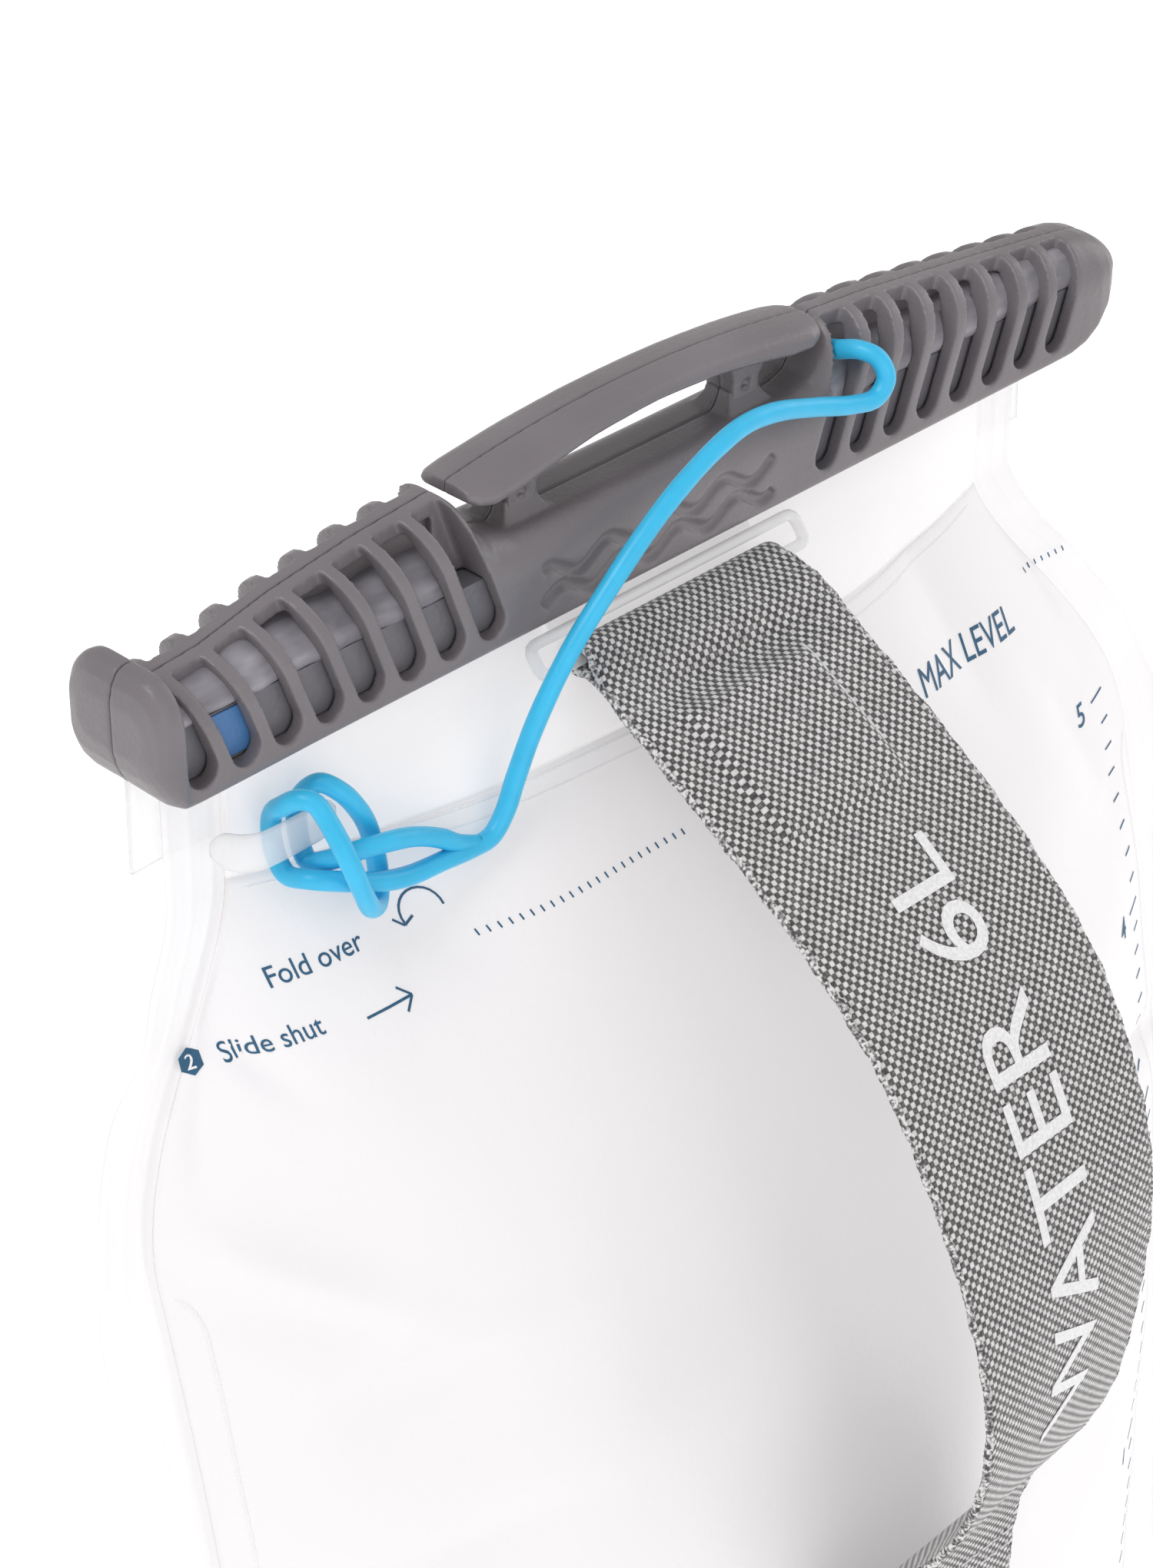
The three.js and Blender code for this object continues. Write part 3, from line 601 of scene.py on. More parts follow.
def edge_strip(side, look):
    """The welded flange down one side, from the mouth to the base, with its fine weld ridges."""
    z = np.linspace(RIM_Z + 0.3, MOUTH_Z + NECK_TOP, 260)
    s = np.linspace(0, 1, 22)
    s, z = np.meshgrid(s, z)
    x = half_width(z) * width_taper(z) - 1.4 + (SEAM_WIDTH + 1.7) * s
    down = MOUTH_Z - z
    ripple = 0.5 * np.sin(z / 11.0 + side) + 0.3 * np.sin(z / 4.3 + 2 * side)
    ripple = ripple + 2.2 * np.exp(-(((down - 78) / 22) ** 2)) * np.sin(z / 6.5 + side)
    ripple = ripple + 1.2 * np.exp(-(((down - 34) / 12) ** 2)) * np.sin(z / 3.1)
    ridges = 0.22 * np.exp(-(((s - 0.3) / 0.04) ** 2)) + 0.22 * np.exp(-(((s - 0.62) / 0.04) ** 2))
    rim = 0.16 * np.exp(-(((s - 0.97) / 0.03) ** 2))
    middle = seam_y(z) + ripple * s**1.5 * clamp01((MOUTH_Z - 20 - z) / 20)
    thick = 0.42 + ridges + rim + 1.0 * np.exp(-((s / 0.13) ** 2))
    front = np.stack([side * x, middle - thick, z], 2)
    back = np.stack([side * x, middle + thick, z], 2)
    word = "left" if side < 0 else "right"
    obj = shell("edge_" + word, back, front, look)
    return place(obj, "bag", "clear_film", "side_seam_" + word, "neck_seam_" + word)


def on_front(x, z, lift):
    """Points on the front film, lifted off it; z from the mouth."""
    x, z = np.asarray(x, float), np.asarray(z, float) + MOUTH_Z
    return np.stack([x, front_y(x, z, lift), z], -1)


def ridge(name, line, look, radius=0.42, sink=0.18, slot="clear_film"):
    """A thin welded ridge along x, z places on the front film."""
    path, _ = resample([(x, 0, z) for x, z in line], 1.2)
    smooth = catmull(path[::4], np.linspace(0, 1, len(path)))
    centres = on_front(smooth[:, 0], smooth[:, 2], -sink)
    taper = np.minimum(1, np.minimum(np.arange(len(path)), np.arange(len(path))[::-1]) / 3 + 0.3)
    points, faces = sweep(centres, radius * taper, 8)
    return place(make_object(name, points, faces, look), "bag", slot)


def weld_ridges(look):
    bow = lambda x, z: z + 1.6 * (x / 86) ** 2
    xs = np.linspace(-85, 85, 60)
    ridge("weld_neck_upper", [(x, bow(x, -19.2)) for x in xs], look, 0.4)
    ridge("weld_neck_lower", [(x, bow(x, -21.4)) for x in xs], look, 0.3, 0.12)
    for side, word in ((-1, "left"), (1, "right")):
        down = np.linspace(-76, -284, 60)
        inner = [(side * (half_width(z + MOUTH_Z) * width_taper(z + MOUTH_Z) - 4.6), z) for z in down]
        start = [(side * 114.6, -75), (side * 113.6, -73.6)]
        ridge("weld_inner_" + word, start[::-1] + inner, look, 0.4)


def base_tray(look):
    """The rounded tray under the bag: a flat floor and a rim that turns up into the panels."""
    middle = seam_y(0.0) + (BACK_DEPTH - FRONT_DEPTH) / 2

    def outline(z, inset, grow=0.0):
        s = np.linspace(0, 1, 91)[:-1]
        u = np.concatenate([-np.cos(math.pi * s), np.cos(math.pi * s)])
        face = np.repeat([-1, 1], 90)
        front, back = front_depth(z) * fullness(u, FRONT_POWER), back_depth(z) * fullness(u, BACK_POWER)
        y = seam_y(z) + face * (0.3 + 1.2 + np.where(face < 0, front, back))
        x = u * half_width(z) * width_taper(z) * (1 - inset / BODY_HALF)
        y = middle + (y - middle) * (1 - inset / 45)
        return np.stack([x, y, np.full_like(x, z + grow)], 1)

    levels = [(0, 34), (0, 20), (0, 10), (0.05, 6.6), (0.5, 4.6), (1.5, 3.2), (3, 2.1), (5, 1.3),
              (8, 0.6), (11, 0.2), (RIM_Z, 0)]
    outside = [outline(z, inset) for z, inset in levels]
    inside = [outline(z, inset + 0.7, 0.6 if z < 1 else 0.3) for z, inset in levels[::-1]]
    inside[0][:, 2] = RIM_Z
    rings = outside + inside
    points = np.concatenate(rings)
    faces = loft_faces(len(rings), len(rings[0]))
    obj = make_object("base_tray", points, faces, look)
    fix_normals(obj)
    return place(obj, "bag", "film", "base_gusset")


def mouth_flap(look):
    z = np.linspace(-12, NECK_TOP, 26) + MOUTH_Z
    u = np.linspace(-1, 1, 120) * MOUTH_HALF / NECK_HALF
    u, z = np.meshgrid(u, z)
    bulge = back_depth(z) * np.maximum(0, fullness(u, BACK_POWER))
    low = clamp01((MOUTH_Z - z) / 12)
    sway = 0.5 * np.sin(u * 9) * low + 0.3 * np.sin(u * 23 + 1) * low
    y = MOUTH_Y + 0.3 + 1.65 + bulge + sway
    x = u * NECK_HALF
    inner = np.stack([x, y, z], 2)
    outer = np.stack([x, y + 0.6, z], 2)
    return place(shell("mouth_flap_film", inner, outer, look), "bag", "film", "mouth_flap")


# ---- Prints ----
def stroke(points, width):
    """Corners and faces of a flat stroke along x, z points."""
    p = np.asarray(points, float)
    along = np.gradient(p, axis=0)
    along /= np.linalg.norm(along, axis=1)[:, None]
    side = np.stack([-along[:, 1], along[:, 0]], 1) * width / 2
    corners = np.concatenate([p + side, p - side])
    n = len(p)
    return corners, [[i, i + 1, n + i + 1, n + i] for i in range(n - 1)]


def outline_text(words, size, bold=0.0):
    """Flat letters as points and faces, cut fine enough to bend; x runs along the words."""
    curve = bpy.data.curves.new("words", "FONT")
    curve.body = words
    curve.size = size
    curve.offset = bold
    curve.resolution_u = 4
    obj = bpy.data.objects.new("words", curve)
    bpy.context.scene.collection.objects.link(obj)
    bpy.context.view_layer.update()
    mesh = bpy.data.meshes.new_from_object(obj.evaluated_get(bpy.context.evaluated_depsgraph_get()))
    bpy.data.objects.remove(obj)
    made = bmesh.new()
    made.from_mesh(mesh)
    bmesh.ops.remove_doubles(made, verts=made.verts, dist=size * 1e-3)
    bmesh.ops.triangulate(made, faces=made.faces)
    for axis in (0, 1):
        low = min(v.co[axis] for v in made.verts)
        high = max(v.co[axis] for v in made.verts)
        for cut in np.arange(low, high, 1.5)[1:]:
            at, normal = [0, 0, 0], [0, 0, 0]
            at[axis], normal[axis] = cut, 1
            geometry = made.verts[:] + made.edges[:] + made.faces[:]
            bmesh.ops.bisect_plane(made, geom=geometry, plane_co=at, plane_no=normal)
    points = np.array([v.co[:2] for v in made.verts])
    faces = [[v.index for v in f.verts] for f in made.faces]
    made.free()
    return points, faces


class Decals:
    """Flat printed shapes in x, z, gathered into one thin mesh that lies on a surface."""

    def __init__(self):
        self.points, self.faces = [], []

    def add(self, points, faces, x=0.0, z=0.0, turn=0.0):
        points = np.asarray(points, float)
        c, s = math.cos(math.radians(turn)), math.sin(math.radians(turn))
        lift = sum(len(p) for p in self.points)
        self.points.append(np.stack([
            x + points[:, 0] * c - points[:, 1] * s,
            z + points[:, 0] * s + points[:, 1] * c,
        ], 1))
        self.faces += [[i + lift for i in f] for f in faces]

    def build(self, name, look, onto, thick=0.07):
        flat = np.concatenate(self.points)
        low, high = onto(flat, DECAL_LIFT), onto(flat, DECAL_LIFT + thick)
        count = len(flat)
        edges = {}
        for f in self.faces:
            for a, b in zip(f, f[1:] + f[:1]):
                edges[(a, b)] = 1
        faces = [f[::-1] for f in self.faces] + [[i + count for i in f] for f in self.faces]
        faces += [[a, b, b + count, a + count] for a, b in edges if (b, a) not in edges]
        obj = make_object(name, np.concatenate([low, high]), faces, look, smooth=False)
        fix_normals(obj)
        return obj


def hexagon(radius):
    angles = np.arange(6) * math.pi / 3 + math.pi / 6
    points = [(radius * math.cos(a), radius * math.sin(a)) for a in angles]
    steps = np.linspace(0, 1, 5)[:-1]
    rim = [(a[0] + (b[0] - a[0]) * t, a[1] + (b[1] - a[1]) * t)
           for a, b in zip(points, points[1:] + points[:1]) for t in steps]
    count = len(rim)
    return [(0, 0)] + rim, [[0, 1 + i, 1 + (i + 1) % count] for i in range(count)]


def prints(blue, white):
    on_film = lambda flat, lift: on_front(flat[:, 0], flat[:, 1], lift)
    art = Decals()
    for x in np.concatenate([np.arange(-52.5, -10, 1.9), np.arange(94, 106, 1.9)]):
        z = -34.4 - 2.2 * abs(x / 100) ** 2
        art.add(*stroke([(0, -0.5), (0, 0), (0, 0.5)], 0.28), x, z, 20)
    art.add(*outline_text("MAX LEVEL", 6.4), 50, -37.2, -5)
    art.add(*outline_text("Fold over", 4.2, 0.004), -86, -33.9, 4)
    art.add(*outline_text("Slide shut", 3.9, 0.004), -95.8, -42.4, 4)
    art.add(*stroke([(0, 0), (4, 0.05), (8.4, 0.1)], 0.34), -74, -41.2, 4)
    art.add(*stroke([(-1.9, 1.7), (0, 0)], 0.34), -65.6, -40.5, 4)
    art.add(*stroke([(-1.9, -1.7), (0, 0)], 0.34), -65.6, -40.5, 4)
    bend = [(-3.2 + 3.3 * math.cos(a), 3.4 * math.sin(a)) for a in np.linspace(0.1, 3.5, 14)]
    art.add(*stroke(bend, 0.34), -55.6, -30.6)
    art.add(*stroke([(-1.5, 1.2), (0, 0), ], 0.34), -62, -32)
    art.add(*stroke([(1.6, 1.1), (0, 0)], 0.34), -62, -32)
    art.add(*hexagon(2.1), -100.4, -40.8)
    for i, z in enumerate(np.arange(-62, -262, -5.0)):
        long = i % 8 == 0
        art.add(*stroke([(0, 0), (2, 0), (5.5 if long else 3, 0)], 0.32), 101 if long else 103.5, z)
    for i, number in enumerate("54321"):
        art.add(*outline_text(number, 6, 0.01), 95, -64 - 40 * i)
    place(art.build("prints_blue", blue, on_film), "bag", "blue_plastic")
    mark = Decals()
    mark.add(*outline_text("2", 3.2, 0.01), -101.3, -41.9)
    on_top = lambda flat, lift: on_front(flat[:, 0], flat[:, 1], lift + 0.09)
    place(mark.build("print_number", white, on_top), "bag", "film")


# ---- Strap ----
STRAP_LINE = [
    [-46.5, -24.9], [-36, -18.3], [-27.5, -12.9], [-19, -7.9], [-13.4, -5.5], [-11.1, -6],
    [-9.5, -4.9], [-9.1, -3.3], [-9.9, -1.7], [-11.8, -1.1], [-15, -2.4], [-28, -10.4], [-48, -22.8],
    [-65, -35], [-79, -48.5], [-89, -65], [-95.5, -81], [-98.5, -97], [-98, -114], [-94, -130],
    [-86, -145], [-78, -156], [-73, -168], [-71.4, -182], [-72, -198], [-72.6, -206],
    [-71.6, -208.4], [-69.6, -208.8], [-68, -206.8], [-68.2, -200], [-68.6, -184],
]


class Band:
    """The strap's middle surface: at(v, u, lift) for v along it and u across it, in mm."""

    def __init__(self):
        line = catmull([(STRAP_X, y, z) for y, z in STRAP_LINE], np.linspace(0, 1, 3000))
        line, self.length = resample(line, 0.25)
        self.v = np.linspace(0, self.length, len(line))
        self.centre = line
        swing = STRAP_TWIST * np.exp(-(((line[:, 2] + 112) / 34) ** 2))
        half = np.stack([np.full(len(line), STRAP_WIDTH / 2), swing, np.zeros(len(line))], 1)
        narrow = 1 - 0.1 * clamp01((56 - self.v) / 6)
        self.half = half / (STRAP_WIDTH / 2) * narrow[:, None]
        along = np.gradient(line, axis=0)
        normal = np.cross(along, half)
        self.normal = normal / np.linalg.norm(normal, axis=1)[:, None]

    def at(self, v, u, lift):
        pick = lambda table: np.stack([np.interp(v, self.v, table[:, k]) for k in range(3)], -1)
        u, lift = np.asarray(u)[..., None], np.asarray(lift)[..., None]
        point = pick(self.centre) + u * pick(self.half) + lift * pick(self.normal)
        return point + np.array([0, MOUTH_Y, MOUTH_Z])


def strap_relief(v, u):
    """How far the outer face stands proud over the folded tail, with the sag beside it."""
    inside = lambda t, low, high, soft: 1 / (1 + np.exp(-(t - low) / soft)) / (1 + np.exp((t - high) / soft))
    pad = inside(v, 66, 92, 0.55) * inside(u, -15.5, 12.3, 0.35)
    sag = np.exp(-(((v - 61.5) / 3.4) ** 2)) * np.exp(-((u / 17) ** 4))
    return 1.5 * pad * clamp01((112 - v) / 24) - 2.2 * sag


def strap(band, look):
    rows = int(band.length / 0.55)
    columns = 60
    v, u = np.meshgrid(np.linspace(0, band.length, rows), np.linspace(-24.4, 24.4, columns), indexing="ij")
    crown = 0.12 * (1 - (u / 25) ** 8)
    front = band.at(v, u, 0.62 + crown + strap_relief(v, u))
    back = band.at(v, u, -0.62 - crown + np.minimum(strap_relief(v, u), 0))
    obj = shell("strap_webbing", back, front, look)
    layer = obj.data.uv_layers.new(name="mm")
    index = np.empty(len(obj.data.loops), int)
    obj.data.loops.foreach_get("vertex_index", index)
    flat = np.stack([u.ravel(), v.ravel()], 1)
    flat = np.concatenate([flat, flat])[index]
    layer.data.foreach_set("uv", flat.ravel())
    place(obj, "bag", "webbing", "strap")
    return obj


def selvedge(band, side, look):
    step = 0.36
    v = np.arange(0.4, band.length - 0.4, step)
    wobble = 0.12 * np.sin(v / 1.9) + 0.08 * np.sin(v / 0.73)
    centres = band.at(v, side * (24.5 + wobble), 0.1 * np.sin(v / 1.31))
    radii = 0.58 + 0.16 * np.abs(np.sin(math.pi * v / 1.2)) ** 0.7
    points, faces = sweep(centres, radii, 10, (1, 0, 0))
    name = "selvedge_" + ("left" if side < 0 else "right")
    obj = make_object(name, points, faces, look)
    return place(obj, "bag", "webbing")


def stitches(band, thread):
    """Two rows of short stitches across the strap near its lower folded end, and the thread line beside the
    tail.
    """
    made_points, made_faces = [], []

    def stitch(v0, u0, v1, u1, radius=0.2, hump=0.35):
        t = np.linspace(0, 1, 7)
        v, u = v0 + (v1 - v0) * t, u0 + (u1 - u0) * t
        lift = 0.72 + strap_relief(v, u) + hump * np.sin(t * math.pi) * 0.5
        points, faces = sweep(band.at(v, u, lift), radius, 6, (0.3, 0.2, 1))
        shift = sum(len(p) for p in made_points)
        made_points.append(points)
        made_faces.extend([[i + shift for i in f] for f in faces])

    for v in np.arange(65, 85, 2.3):
        stitch(v, 12.4 + (v - 65) * 0.03, v + 2.1, 12.4 + (v - 63) * 0.03)
    for row in (100.5, 268.0, 271.5):
        for u in np.arange(-22, 21.5, 2.7):
            if row > 110:
                stitch(row, u, row, u + 2.0)
    obj = make_object("strap_stitches", np.concatenate(made_points), made_faces, thread)
    return place(obj, "bag", "webbing")


def strap_words(band, white):
    art = Decals()
    points, faces = outline_text("WATER 6L", 19.5, 0.02)
    length = points[:, 0].max()
    art.add(points, faces)

    def onto(flat, lift):
        v, u = 207 - flat[:, 0] * 106 / length, 7.5 - flat[:, 1]
        return band.at(v, u, 0.78 + strap_relief(v, u) + lift * 1.2)

    return place(art.build("strap_words", white, onto, 0.1), "bag", "film")


def bar_ring(name, y, z, tilt, look, node):
    """A clear rectangular ring: a round-edged bar bent round a long slot."""
    half_x, half_y, corner = 30.05, 2.63, 1.5
    path = []
    for cx, cy, start in ((1, 1, 0), (-1, 1, 90), (-1, -1, 180), (1, -1, 270)):
        for angle in np.linspace(start, start + 90, 8):
            a = math.radians(angle)
            path.append((cx * (half_x - corner) + corner * math.cos(a),
                         cy * (half_y - corner) + corner * math.sin(a), 0))
    path, _ = resample(path + path[:1], 0.9)
    path = path[:-1]
    centres = np.array(path)
    ahead, behind = np.roll(centres, -1, 0), np.roll(centres, 1, 0)
    tangent = ahead - behind
    tangent /= np.linalg.norm(tangent, axis=1)[:, None]
    out = np.cross(tangent, (0, 0, 1))
    rings = []
    for angle in np.arange(12) * math.pi / 6:
        c, s = math.cos(angle), math.sin(angle)
        square = 0.95 / (abs(c) ** 3 + abs(s) ** 3) ** (1 / 3)
        rings.append(centres + square * c * out + square * s * np.array([0, 0, 0.95]))
    points = np.stack(rings, 1).reshape(-1, 3)
    count = len(centres)
    faces = []
    for a in range(count):
        here, onward = a * 12, (a + 1) % count * 12
        faces += [[here + i, here + (i + 1) % 12, onward + (i + 1) % 12, onward + i] for i in range(12)]
    turn = math.pi / 2 + tilt
    c, s = math.cos(turn), math.sin(turn)
    x, py, pz = points.T
    points = np.stack([x + STRAP_X, py * c - pz * s + y + MOUTH_Y, py * s + pz * c + z + MOUTH_Z], 1)
    obj = make_object(name, points, faces, look)
    fix_normals(obj)
    return place(obj, "bag", "clear_film", node)


def tether_bar(look):
    """The clear band that the tether is hitched round, welded to the neck at both ends."""
    bends = [(-90.2, -3.2), (-89.2, -4.6), (-87.8, -7.0), (-85.6, -8.7), (-82, -9.1), (-76, -9.1),
             (-72.6, -8.9), (-70.2, -8.2)]
    line, _ = resample(catmull([(x, y, 0) for x, y in bends], np.linspace(0, 1, 200)), 0.5)
    tangent = np.gradient(line, axis=0)
    tangent /= np.linalg.norm(tangent, axis=1)[:, None]
    out = np.cross(tangent, (0, 0, 1))
    rings = []
    count = len(line)
    for i in range(count):
        end = min(i, count - 1 - i) * 0.5
        half = 3.3 * math.sqrt(max(0.12, 1 - max(0, 1 - end / 3.3) ** 2))
        ring = []
        for angle in np.arange(16) * math.pi / 8:
            c, s = math.cos(angle), math.sin(angle)
            square = (abs(c) ** 4 + abs(s) ** 4) ** -0.25
            ring.append(line[i] + out[i] * square * s * 0.5 + np.array([0, 0, square * c * half - 10]))
        rings.append(np.array(ring))
    obj = solid_object("tether_bar", rings)
    obj.data.materials.clear()
    obj.data.materials.append(look)
    return place(obj, "bag", "clear_film", "tether_tab")


# ---- Slider and handle ----
STATIONS = np.array([
    # x, underside, top, half depth, half width of the crown
    [-104.8, 12.6, 20.5, 7.5, 4], [-104.1, 9.6, 23.4, 9.8, 5], [-102.9, 7.1, 25.2, 10.6, 5.2],
    [-101.6, 5.4, 25.7, 10.8, 5.2], [-100, 4.6, 25.6, 10.7, 5], [-99.3, 4.3, 24.8, 10.4, 4.2],
    [-98.7, 4.1, 22.3, 10, 1.8], [-96.5, 4, 22.4, 10, 1.8],
    [-88, 4, 23.2, 9.9, 1.8], [-75, 4, 26.3, 9.7, 1.8], [-58, 4, 28.9, 9.6, 1.8],
    [-42, 4, 30.4, 9.6, 1.8], [-40.5, 4, 29, 9.6, 2.2], [-38.5, 4, 25, 9.6, 3], [-35.5, 4, 22, 9.6, 3.6],
    [-31, 4, 20.7, 9.6, 4], [-26, 4, 20.5, 9.6, 4], [26, 4, 20.5, 9.6, 4], [33, 4, 20.7, 9.6, 4],
    [36.5, 4, 22, 9.6, 3.6], [39, 4, 25.5, 9.6, 3], [41, 4, 29, 9.6, 2.2], [42.5, 4, 30.4, 9.6, 1.8],
    [56, 4, 29.3, 9.6, 1.8], [75, 4, 27, 9.6, 1.8], [95, 4, 24.4, 9.6, 1.8], [101, 4, 23.6, 9.5, 1.8],
    [105, 4.8, 23, 9.4, 1.8], [108.5, 6.6, 22.4, 9.1, 1.8], [111.5, 9.2, 21.4, 8.4, 1.6],
    [113.6, 12, 20, 7.2, 1.4], [114.5, 14.5, 18.4, 5.5, 1],
])


def station(x):
    return [np.interp(x, STATIONS[:, 0], STATIONS[:, k]) for k in range(1, 5)]


def loft_faces(rings, count):
    faces = []
    for r in range(rings - 1):
        here, onward = r * count, (r + 1) * count
        for i in range(count):
            j = (i + 1) % count
            faces.append([here + i, here + j, onward + j, onward + i])
    faces.append(list(range(count))[::-1])
    faces.append([(rings - 1) * count + i for i in range(count)])
    return faces


def solid_object(name, rings):
    """A lofted solid through rings of points in the mouth's frame."""
    points = np.concatenate(rings) + np.array([0, MOUTH_Y, MOUTH_Z])
    obj = make_object(name, points, loft_faces(len(rings), len(rings[0])), None)
    fix_normals(obj)
    return obj


def box_solid(name, x0, x1, y0, y1, z0, z1):
    ring = lambda x: np.array([(x, y0, z0), (x, y1, z0), (x, y1, z1), (x, y0, z1)], float)
    return solid_object(name, [ring(x0), ring(x1)])


def joined(name, objects):
    """One object holding several meshes that don't touch."""
    made = bmesh.new()
    for obj in objects:
        made.from_mesh(obj.data)
    mesh = bpy.data.meshes.new(name)
    made.to_mesh(mesh)
    made.free()
    result = bpy.data.objects.new(name, mesh)
    bpy.context.scene.collection.objects.link(result)
    discard(*objects)
    return result


def discard(*objects):
    for obj in objects:
        bpy.data.objects.remove(obj)


def baked(obj):
    """Applies the object's modifiers to its mesh."""
    bpy.context.view_layer.update()
    graph = bpy.context.evaluated_depsgraph_get()
    mesh = bpy.data.meshes.new_from_object(obj.evaluated_get(graph))
    obj.modifiers.clear()
    obj.data = mesh
    return obj


def boolean(obj, other, operation="DIFFERENCE", keep=False):
    modifier = obj.modifiers.new("cut", "BOOLEAN")
    modifier.operation = operation
    modifier.solver = "EXACT"
    modifier.object = other
    baked(obj)
    if not keep:
        discard(other)
    return obj


def moulded(obj, voxel, smooth, look, name):
    """Rounds every edge a little, as moulding does: voxel remesh, then smoothing."""
    modifier = obj.modifiers.new("remesh", "REMESH")
    modifier.mode = "VOXEL"
    modifier.voxel_size = voxel * MM
    modifier.adaptivity = 0.0
    relax = obj.modifiers.new("relax", "SMOOTH")
    relax.factor = 0.5
    relax.iterations = smooth
    baked(obj)
    obj.name = name
    obj.data.materials.clear()
    obj.data.materials.append(look)
    obj.data.polygons.foreach_set("use_smooth", [True] * len(obj.data.polygons))
    return obj


def slider_section(x):
    bottom, top, half, crown = station(x)
    bevel = 1.0 + 2.4 * clamp01((CAP_FACE - x) / 3)
    rise = min(9, (top - bottom) / 2, (half - crown) * 1.2)
    right = [(half - bevel + bevel * math.sin(a), bottom + bevel * (1 - math.cos(a)))
             for a in (0, math.pi / 6, math.pi / 3, math.pi / 2)]
    for angle in np.linspace(0, math.pi / 2, 13):
        right.append((crown + (half - crown) * math.cos(angle), top - rise + rise * math.sin(angle)))
    left = [(-y, z) for y, z in right[::-1]]
    return np.array([(x, y, z) for y, z in right + left])


def rib_hollow(x0, x1, face):
    """The space behind the ribs of one shell, up to the thin web in the middle."""
    xs = np.concatenate([[x0], STATIONS[(STATIONS[:, 0] > x0) & (STATIONS[:, 0] < x1), 0], [x1]])
    rings = []
    for x in xs:
        top = station(x)[1]
        section = [(WEB, 15.5), (6.9, 15.5), (6.9, max(top - 10, 16)), (3.4, top - 3), (WEB, top - 3)]
        rings.append(np.array([(x, face * y, z) for y, z in section]))
    return solid_object("hollow", rings)


def slot_cutter(end, face, index):
    """One slot: rounded foot, straight sides, leaning out as it rises."""
    radius = 2.75
    outline = [(radius, 36.0), (-radius, 36.0)]
    for angle in np.linspace(math.pi, 2 * math.pi, 9):
        outline.append((radius * math.cos(angle), radius * math.sin(angle)))
    lean = end * math.radians(SLOT_LEAN)
    c, s = math.cos(lean), math.sin(lean)
    foot = end * (SLOT_FIRST + SLOT_PITCH * index)
    rings = []
    for y in (2.4, 22.4):
        ring = [(px * c + pz * s + foot, face * y, -px * s + pz * c + SLOT_FOOT) for px, pz in outline]
        rings.append(np.array(ring))
    return solid_object("slot", rings)


def wave_groove(z, phase):
    x = np.linspace(-27, 25, 70)
    wave = z + 1.5 * np.sin((x + phase) / 52 * 2 * math.pi * 4)
    centres = np.stack([x, np.full_like(x, -9.8), wave], 1) + np.array([0, MOUTH_Y, MOUTH_Z])
    points, faces = sweep(centres, 1.25, 10)
    obj = make_object("groove", points, faces, None)
    fix_normals(obj)
    return obj


def slider_shells(look):
    xs = np.unique(np.concatenate([STATIONS[:, 0], np.arange(-104, 114.5, 2.0)]))
    shell_all = solid_object("slider", [slider_section(x) for x in xs])
    for x in (-25, 25):
        rings = []
        for z, half in ((18, 6.2), (19.6, 5.9), (20.6, 5.2), (21.6, 4.3), (22.6, 3.7), (24, 3.3)):
            rings.append(np.array([(x + half, -half * 0.8, z), (x + half, half * 0.8, z),
                                   (x - half, half * 0.8, z), (x - half, -half * 0.8, z)]))
        boolean(shell_all, solid_object("flare", rings), "UNION")
    cutters = [
        box_solid("channel", CHANNEL_START, 130, -6.95, 6.95, 6.2, 16),
        box_solid("slit", CHANNEL_START, 130, -3.2, 3.2, 0, 7.2),
        joined("hollows", [rib_hollow(x0, x1, face) for x0, x1 in RIBBED for face in (-1, 1)]),
        boolean(
            joined("slots", [
                slot_cutter(end, face, i) for end in (-1, 1) for face in (-1, 1) for i in range(8)
            ]),
            box_solid("clear_of_cap", CAP_FACE, 200, -40, 40, -10, 60), "INTERSECT",
        ),
        wave_groove(8.4, 0),
        wave_groove(12.6, 3),
    ]
    for cutter in cutters:
        boolean(shell_all, cutter)
    voxel = 0.38
    for face, word in ((-1, "front"), (1, "back")):
        half = bpy.data.objects.new("half", shell_all.data.copy())
        bpy.context.scene.collection.objects.link(half)
        y0, y1 = sorted((0, face * 30))
        boolean(half, box_solid("side", -200, 200, y0, y1, -10, 60), "INTERSECT")
        moulded(half, voxel, 3, look, "slider_shell_" + word)
        place(half, "slider", "grey_plastic", "slider_" + word)
    discard(shell_all)


def film_rolls(look, tab_look):
    """The translucent roll that shows between the ribs, and the small tab on the rail behind one slot."""
    section = [
        (6.2, 15.2), (7.0, 16.2), (7.2, 17.2), (6.9, 18.6),
        (6.1, 20.0), (4.9, 21.2), (3.2, 22.0), (1.2, 22.3),
    ]
    for word, x0, x1 in (("left", -98.4, -43.4), ("right", 41.4, 106.4)):
        rings = []
        for x in np.arange(x0, x1, 0.9):
            lump = 1 + 0.025 * math.sin(x / 2.3) + 0.02 * math.sin(x / 1.1 + 1)
            low = min(1.0, (station(x)[1] - 19.0) / 5.0)
            right = [(y * lump, 15.75 + (z - 15.75) * low * lump) for y, z in section]
            left = [(-y, z) for y, z in right[::-1]]
            rings.append(np.array([(x, y, z) for y, z in right + left]))
        obj = solid_object("film_roll_" + word, rings)
        obj.data.materials.clear()
        obj.data.materials.append(look)
        obj.data.polygons.foreach_set("use_smooth", [True] * len(obj.data.polygons))
        place(obj, "slider", "liner_plastic")
    tab = moulded(box_solid("tab", -92, -83.6, -6.95, -6.55, 7.2, 15.3), 0.12, 2, tab_look, "rail_tab")
    place(tab, "slider", "blue_plastic")


